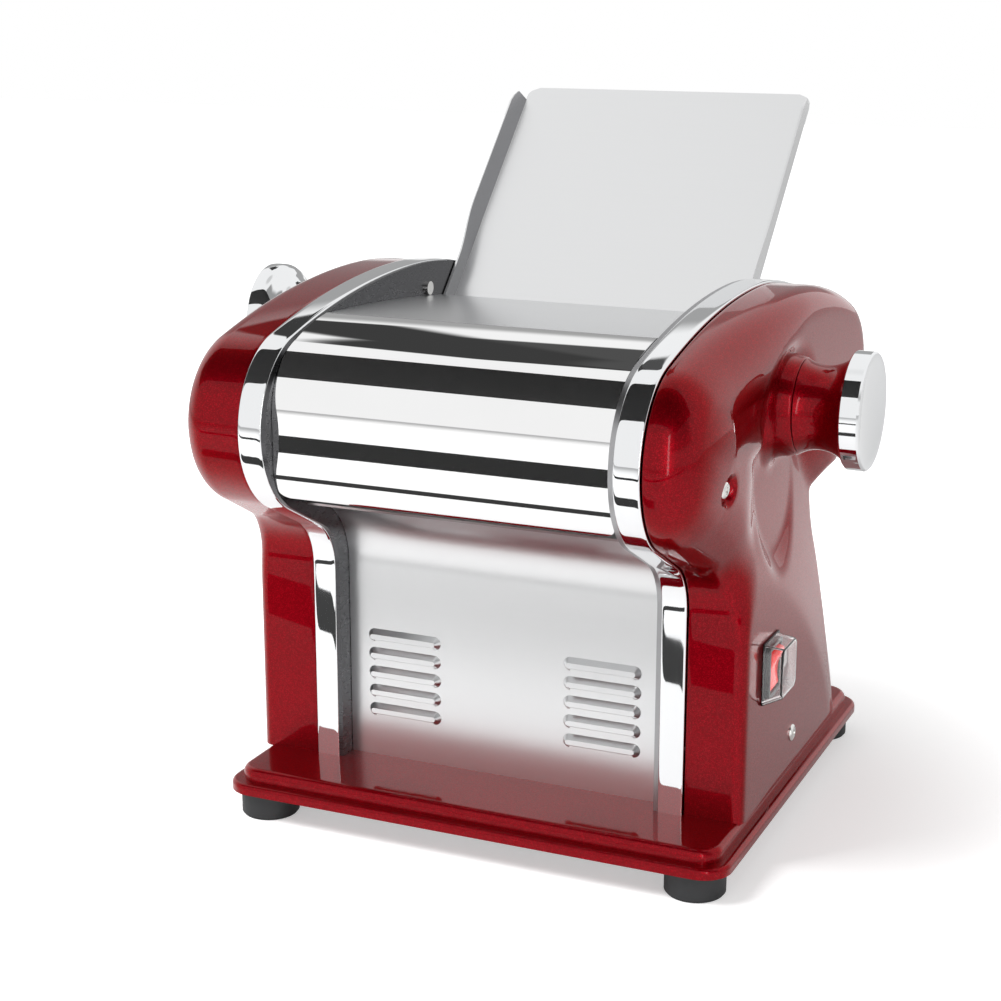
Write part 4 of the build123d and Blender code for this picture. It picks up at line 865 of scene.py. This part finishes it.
# a round recess square to the face; also gives the place and direction of the screw in it
def coverSeat(bm, cover):
    centre, feel, side = seatShape["centre"], seatShape["feel"], cover["side"]
    ring = ringOnFace(bm, cover, centre, seatShape["mouth"], seatShape["segments"])
    mouth = [vert.co.copy() for vert in ring[0]]
    middle = Vector(onFace(cover, *centre))

    def fall(dy, dz):
        before = onFace(cover, centre[0] - dy, centre[1] - dz)[0]
        return side * (before - onFace(cover, centre[0] + dy, centre[1] + dz)[0])

    square = Vector((side * 2 * feel, fall(feel, 0), fall(0, feel))).normalized()
    row = ring
    for reach, depth in seatShape["profile"]:
        row = pull(bm, row, lambda k: (
            mouth[k] + (middle - mouth[k]) * (1 - reach / seatShape["mouth"]) - square * depth))
    return ring[1], (centre, seatShape["mouth"]), (middle - square * seatShape["depth"], square)


def coverWindow(bm, cover):
    y, z = cover["window"]
    halfY, halfZ = windowShape["half"]
    signs = ((-1, -1), (1, -1), (1, 1), (-1, 1))
    corners = [(y + a * halfY, z + b * halfZ) for a, b in signs]
    verts, edges = loopOf(bm, [onFace(cover, *corner) for corner in corners])
    pull(bm, (verts, edges), lambda k: onFace(cover, *corners[k], windowShape["depth"]))
    return edges


# a grid that keeps clear of the rim and the openings
def faceCells(cover, rim, outlineLoop, rounds):
    rimTree = KDTree(2 * len(rim))
    for k, edge in enumerate(rim):
        for j, vert in enumerate(edge.verts):
            rimTree.insert((0, vert.co.y, vert.co.z), 2 * k + j)
    rimTree.balance()
    gap, (halfAcross, halfUp) = faceGrid["gap"], faceGrid["half"]
    cells = bmesh.new()
    bmesh.ops.create_grid(cells, x_segments=2 * halfAcross, y_segments=2 * halfUp, size=1.0)
    doomed = []
    for vert in cells.verts:
        y = vert.co.x * halfAcross * faceGrid["step"]
        z = faceGrid["middle"] + vert.co.y * halfUp * faceGrid["step"]
        vert.co = (0, y, z)
        clear = rimTree.find(vert.co)[2] > gap and inside(y, z, outlineLoop)
        for centre, radius in rounds:
            clear = clear and hypot(y - centre[0], z - centre[1]) > radius + gap
        if cover["window"]:
            away = [abs(spot - middle) - half
                    for spot, middle, half in zip((y, z), cover["window"], windowShape["half"])]
            clear = clear and max(away) > gap
        if not clear:
            doomed.append(vert)
    bmesh.ops.delete(cells, geom=doomed, context="VERTS")
    pinched = doomed
    while pinched:
        pinched = [vert for vert in cells.verts if sum(edge.is_boundary for edge in vert.link_edges) != 2
                   and (vert.is_boundary or not vert.link_faces)]
        bmesh.ops.delete(cells, geom=pinched, context="VERTS")
    for vert in cells.verts:
        vert.co = onFace(cover, vert.co.y, vert.co.z)
    mesh = bpy.data.meshes.new("coverCells")
    cells.to_mesh(mesh)
    cells.free()
    return mesh


# the face: the grid, and triangles between it and the rim, filled flat and then put back
def coverFace(bm, cells, rim):
    before = set(bm.verts)
    bm.from_mesh(cells)
    bpy.data.meshes.remove(cells)
    rim += [edge for edge in bm.edges if edge.is_boundary and edge.verts[0] not in before]
    held = {vert: vert.co.copy() for edge in rim for vert in edge.verts}
    for vert in held:
        vert.co.x = 0
    bmesh.ops.triangle_fill(bm, use_beauty=True, use_dissolve=False, edges=rim, normal=(1, 0, 0))
    for vert, spot in held.items():
        vert.co = spot


seats = {}
for cover in covers:
    bm = bmesh.new()
    verts, edges = coverFlank(bm, cover)
    outlineLoop = [(vert.co.y, vert.co.z) for vert in verts]
    rim = edges + [bm.edges.new((verts[-1], verts[0]))]
    edges, bossRound = coverBoss(bm, cover)
    rim += edges
    edges, seatRound, seats[cover["node"]] = coverSeat(bm, cover)
    rim += edges
    if cover["window"]:
        rim += coverWindow(bm, cover)
    coverFace(bm, faceCells(cover, rim, outlineLoop, (bossRound, seatRound)), rim)
    bmesh.ops.remove_doubles(bm, verts=bm.verts, dist=0.001)
    bmesh.ops.recalc_face_normals(bm, faces=bm.faces)
    node = cover["node"]
    piece = finishPiece(bm, node + "_shell", "housing", slotOf[node], node, sharp=50, scale=mm)
    print(piece.name, len(piece.data.polygons), "faces")


def turnedPiece(bm, points, centre, segments):
    spots = [(x, centre[0] + r, centre[1]) for x, r in points]
    verts, edges = chainOf(bm, spots)
    bmesh.ops.spin(bm, geom=verts + edges, cent=(0, *centre), axis=(1, 0, 0), angle=2 * pi,
                   steps=segments, use_merge=True)


# left dial: one bright turned body, a shallow dish in its face, a rounded shoulder and a waist
leftDial = {
    "face": 149.5, "centre": (-2.0, 209.5), "dish": 1.8, "dishRadius": 23.0, "dishSteps": 7, "segments": 96,
    "profile": (  # depth behind the face and radius
        (0.0, 24.1), (0.35, 24.75), (1.0, 25.0), (5.8, 25.0), (7.4, 24.7), (8.9, 23.9), (10.3, 22.6),
        (11.8, 20.9), (13.6, 19.2), (15.8, 18.2), (18.4, 17.9), (21.0, 18.3), (23.2, 19.2), (24.3, 19.8),
        (24.7, 19.6), (24.7, 7.0)),
}
bm = bmesh.new()
steps = leftDial["dishSteps"]
profile = [(leftDial["dish"] * (1 - (k / steps) ** 2), leftDial["dishRadius"] * k / steps)
           for k in range(steps + 1)]
profile += leftDial["profile"]
turnedPiece(bm, [(x - leftDial["face"], r) for x, r in profile], leftDial["centre"], leftDial["segments"])
bmesh.ops.remove_doubles(bm, verts=bm.verts, dist=0.001)
bmesh.ops.recalc_face_normals(bm, faces=bm.faces)
finishPiece(
    bm, "left_dial_body", "left_dial_set", "chrome_trim", "left_dial", "left_dial_cap", sharp=60, scale=mm)

# dough tray: a plate with rounded corners between two flanges that lean outwards above the arch
tray = {
    "start": (1.0, 175.0), "half": 74.5, "length": 192.0, "sheet": 1.0, "flange": 10.0, "short": 7.0,
    "corner": 7.0, "flareStart": 76.0, "flareEnd": 112.0, "flare": {1: 5.0, -1: 20.0},
    "flangeCorner": 7.5, "flangeTaper": 0.42, "bands": (0.04, 0.12, 0.55, 1.0), "cells": (24, 48),
}
slope = sqrt(0.5)  # the tray leans back at 45 degrees


def onTray(x, along, off):
    return (x, tray["start"][0] + (along - off) * slope, tray["start"][1] + (along + off) * slope)


bm = bmesh.new()
bmesh.ops.create_grid(bm, x_segments=tray["cells"][0], y_segments=tray["cells"][1], size=1.0)
for vert in bm.verts:
    vert.co = (vert.co.x * tray["half"], (vert.co.y + 1) / 2 * tray["length"], 0)
flangeEnd = tray["length"] - tray["short"]


def onSide(edge):
    outward = min(abs(vert.co.x) for vert in edge.verts) > tray["half"] - 0.01
    return edge.is_boundary and outward and max(vert.co.y for vert in edge.verts) < flangeEnd + 0.5


sides = [edge for edge in bm.edges if onSide(edge)]
for share in tray["bands"]:
    verts, sides = extruded(bm, sides)
    for vert in verts:
        side = 1 if vert.co.x > 0 else -1
        lean = radians(tray["flare"][side]) * smoothStep(vert.co.y, tray["flareStart"], tray["flareEnd"])
        along = vert.co.y
        reach = tray["flange"] * share
        if share == tray["bands"][-1]:
            reach -= max(0.0, along - (flangeEnd - tray["flangeCorner"])) * tray["flangeTaper"]
        vert.co = (side * (tray["half"] + reach * sin(lean)), along, reach * cos(lean))

# round the upper corners of the plate by pulling its squares in to an arc
cornerX, cornerY = tray["half"] - tray["corner"], tray["length"] - tray["corner"]
for vert in bm.verts:
    over = Vector((abs(vert.co.x) - cornerX, vert.co.y - cornerY))
    if vert.co.z < 0.01 and over.x > 0 and over.y > 0:
        if over.length > 0.01:
            over *= max(over.x, over.y) / over.length
        side = 1 if vert.co.x > 0 else -1
        vert.co.x = side * (cornerX + over.x)
        vert.co.y = cornerY + over.y
for vert in bm.verts:
    vert.co = onTray(*vert.co)
bmesh.ops.recalc_face_normals(bm, faces=bm.faces)
if sum(face.normal.z for face in bm.faces) < 0:
    bmesh.ops.reverse_faces(bm, faces=bm.faces)
bmesh.ops.solidify(bm, geom=bm.faces, thickness=-tray["sheet"])
bmesh.ops.recalc_face_normals(bm, faces=bm.faces)
trayPiece = finishPiece(bm, "dough_tray_sheet", "tray_set", "satin_steel", "dough_tray", sharp=40, scale=mm)
# painted shade: the faces of the left flange take the darker dark_steel, standing in for the shade on that
# side of the tray
trayPiece.data.materials.append(finishes["dark_steel"])
for face in trayPiece.data.polygons:  # the left side is darker than the plate
    if face.center.x < 0 and abs(face.normal.x) > 0.5:
        face.material_index = 1

# switch: a plate with a raised frame, a red rocker in its well and a clear hood over both
switch = {
    "centre": (-41.5, 81.5), "face": 114.0, "plate": (22.0, 27.6, 1.0), "plateSeat": 0.02, "plateEdge": 0.25,
    "frame": (18.8, 23.2, 3.0), "frameSeat": 0.1, "corner": 2.4, "rim": 2.2, "well": 7.0, "edge": 0.35,
}
rocker = {
    "pivot": (114.4, 81.5), "tilt": 9.0, "wide": 13.4, "half": 8.4, "crest": 3.6, "dip": 2.0,
    "back": 1.1, "keel": 3.2, "shoulder": 1.2, "edge": 0.35, "hollow": 4, "spread": 4.6,
}
hood = {
    "half": (12.2, 13.6), "deep": 8.2, "ahead": 1.4, "corner": 2.4, "draft": 1.0, "slope": 4.0,
    "wall": 0.9, "seat": 0.05, "edge": 0.7,
}
creased = 1.2  # radians between faces, past which an edge is rounded


def roundOff(bm, edges, offset, segments):
    bmesh.ops.bevel(
        bm, geom=edges, offset=offset, affect="EDGES", segments=segments, profile=0.5, material=-1)


# a block on the right side, from one depth to another, centred on the switch
def block(bm, size, low, high):
    made = bmesh.ops.create_cube(bm, size=1.0)["verts"]
    y, z = switch["centre"]
    for vert in made:
        vert.co = (low if vert.co.x < 0 else high, y + vert.co.y * size[0], z + vert.co.z * size[1])
    return made


bm = bmesh.new()
flush, (wide, tall, thick) = switch["face"], switch["plate"]
block(bm, (wide, tall), flush + switch["plateSeat"], flush + thick)
roundOff(bm, bm.edges[:], switch["plateEdge"], 2)
wide, tall, thick = switch["frame"]
base = block(bm, (wide, tall), flush + switch["frameSeat"], flush + thick)
lengthwise = [edge for edge in {e for v in base for e in v.link_edges}
              if abs(edge.verts[0].co.x - edge.verts[1].co.x) > 0.5]
roundOff(bm, lengthwise, switch["corner"], 4)
front = max(bm.faces, key=lambda side: (round(side.calc_center_median().x, 2), side.calc_area()))
bmesh.ops.inset_region(bm, faces=[front], thickness=switch["rim"], use_even_offset=True)
well = bmesh.ops.extrude_face_region(bm, geom=[front])["geom"]
bmesh.ops.translate(bm, verts=onlyVerts(well), vec=(-switch["well"], 0, 0))
bmesh.ops.delete(bm, geom=[front], context="FACES_ONLY")
rimEdges = [edge for edge in bm.edges if len(edge.link_faces) == 2 and edge.calc_face_angle() > creased
            and min(v.co.x for v in edge.verts) > flush + thick - 0.01]
roundOff(bm, rimEdges, switch["edge"], 2)
bmesh.ops.recalc_face_normals(bm, faces=bm.faces)
finishPiece(bm, "switch_frame", "housing", "black_plastic", "switch_body", sharp=50, scale=mm)

bm = bmesh.new()
(pivotX, pivotZ), middleY = rocker["pivot"], switch["centre"][0]
half, wide, crest, dip = rocker["half"], rocker["wide"], rocker["crest"], rocker["dip"]
shoulder, hollow = rocker["shoulder"], rocker["hollow"]
profile = [(-rocker["back"], -half), (crest - shoulder, -half)]
profile += [(crest - shoulder + shoulder * sin(a), -half + shoulder - shoulder * cos(a)) for a in (0.5, 1.0)]
profile += [(dip + (crest - dip) * (k / hollow) ** 2, half * k / rocker["spread"])
            for k in range(-hollow, hollow + 1)]
profile += [(crest - shoulder + shoulder * sin(a), half - shoulder + shoulder * cos(a)) for a in (1.0, 0.5)]
profile += [(crest - shoulder, half), (-rocker["back"], half), (-rocker["keel"], 0)]
verts, edges = loopOf(bm, [(pivotX + a, middleY - wide / 2, pivotZ + b) for a, b in profile])
body = bmesh.ops.extrude_face_region(bm, geom=bmesh.ops.contextual_create(bm, geom=edges)["faces"])["geom"]
bmesh.ops.translate(bm, verts=onlyVerts(body), vec=(0, wide, 0))
bmesh.ops.recalc_face_normals(bm, faces=bm.faces)
roundOff(bm, [edge for edge in bm.edges if edge.calc_face_angle() > creased], rocker["edge"], 3)
tilt = Matrix.Rotation(radians(rocker["tilt"]), 3, "Y")
bmesh.ops.rotate(bm, verts=bm.verts, cent=(pivotX, middleY, pivotZ), matrix=tilt)
finishPiece(bm, "switch_rocker_moulding", "rocker_set", "signal_red", "switch_rocker", sharp=50, scale=mm)


# eight corners of the hood's outline at one depth
def hoodRing(halfY, low, high, x):
    c = hood["corner"]
    spots = ((-halfY + c, low), (halfY - c, low), (halfY, low + c), (halfY, high - c),
             (halfY - c, high), (-halfY + c, high), (-halfY, high - c), (-halfY, low + c))
    y, z = switch["centre"]
    return [(x, y - hood["ahead"] + a, z + b) for a, b in spots]


bm = bmesh.new()
halfY, halfZ = hood["half"]
start = flush + switch["plate"][2] + hood["seat"]
row = loopOf(bm, hoodRing(halfY, -halfZ, halfZ, start))
low, high = -halfZ + hood["slope"], halfZ - hood["draft"]
upper = hoodRing(halfY - hood["draft"], low, high, start + hood["deep"])
row = pull(bm, row, lambda k: upper[k])
bmesh.ops.contextual_create(bm, geom=row[1])
bmesh.ops.recalc_face_normals(bm, faces=bm.faces)
roundOff(bm, [edge for edge in bm.edges if len(edge.link_faces) == 2], hood["edge"], 3)
bmesh.ops.recalc_face_normals(bm, faces=bm.faces)
if max(bm.faces, key=lambda side: side.calc_center_median().x).normal.x < 0:
    bmesh.ops.reverse_faces(bm, faces=bm.faces)
bmesh.ops.solidify(bm, geom=bm.faces, thickness=hood["wall"])
bmesh.ops.recalc_face_normals(bm, faces=bm.faces)
finishPiece(bm, "switch_hood_shell", "housing", "clear_plastic", "switch_hood", sharp=50, scale=mm)

# cover screws: domed heads with a cross recess, two in the seats and two flush on the sides
lowScrew = (-2.2, 37.6)
screws = (
    {"place": seats["side_cover_right"], "radius": 3.7},
    {"place": seats["side_cover_left"], "radius": 3.7},
    {"place": (Vector((across["rightOuter"], *lowScrew)), Vector((1, 0, 0))), "radius": 3.9},
    {"place": (Vector((-across["leftOuter"], *lowScrew)), Vector((-1, 0, 0))), "radius": 3.9},
)
screwHead = {
    "segments": 32, "top": 1.45, "floor": 0.5, "arm": 0.42, "slot": 0.42, "narrow": 0.8,
    "profile": ((1.0, 0.45), (0.96, 0.8), (0.84, 1.15), (0.62, 1.4), (0.5, 1.45)),  # radius share, rise
}
bm = bmesh.new()
for screw in screws:
    radius = screw["radius"]
    known = set(bm.verts)
    rim = circleRow(bm, (0, 0), radius, screwHead["segments"])
    spots = [vert.co.copy() for vert in rim[0]]
    for reach, rise in screwHead["profile"]:
        rim = pull(bm, rim, lambda k: (rise, spots[k].y * reach, spots[k].z * reach))
    arm, slot = radius * screwHead["arm"], screwHead["slot"]
    cross = ((arm, slot), (slot, slot), (slot, arm), (-slot, arm), (-slot, slot), (-arm, slot), (-arm, -slot),
             (-slot, -slot), (-slot, -arm), (slot, -arm), (slot, -slot), (arm, -slot))
    plus = loopOf(bm, [(screwHead["top"], a, b) for a, b in cross])
    bmesh.ops.triangle_fill(
        bm, use_beauty=True, use_dissolve=False, edges=rim[1] + plus[1], normal=(1, 0, 0))
    narrow = screwHead["narrow"]
    plus = pull(bm, plus, lambda k: (screwHead["floor"], cross[k][0] * narrow, cross[k][1] * narrow))
    bmesh.ops.contextual_create(bm, geom=plus[1])
    fresh = [vert for vert in bm.verts if vert not in known]
    spot, direction = screw["place"]
    turn = Vector((1, 0, 0)).rotation_difference(direction).to_matrix()
    bmesh.ops.rotate(bm, verts=fresh, cent=(0, 0, 0), matrix=turn)
    bmesh.ops.translate(bm, verts=fresh, vec=spot)
bmesh.ops.recalc_face_normals(bm, faces=bm.faces)
finishPiece(bm, "cover_screw_heads", "housing", "screw_zinc", "cover_screws", sharp=40, scale=mm)
print("dial, tray, switch and screws made")

# every node that isn't replaced is carried over, two of them in another finish: the roller cover in mirror
# steel, and the left side frame in wall_steel, a much darker steel that is painted shade for the inside of
# the housing
otherFinish = {"roller_cover": "mirror_steel", "side_frame_left": "wall_steel"}
for node in sorted(frame["nodes"]):
    if node not in replaced:
        smoothCopy(node, finish=otherFinish.get(node))
print("replaced nodes:", len(replaced))
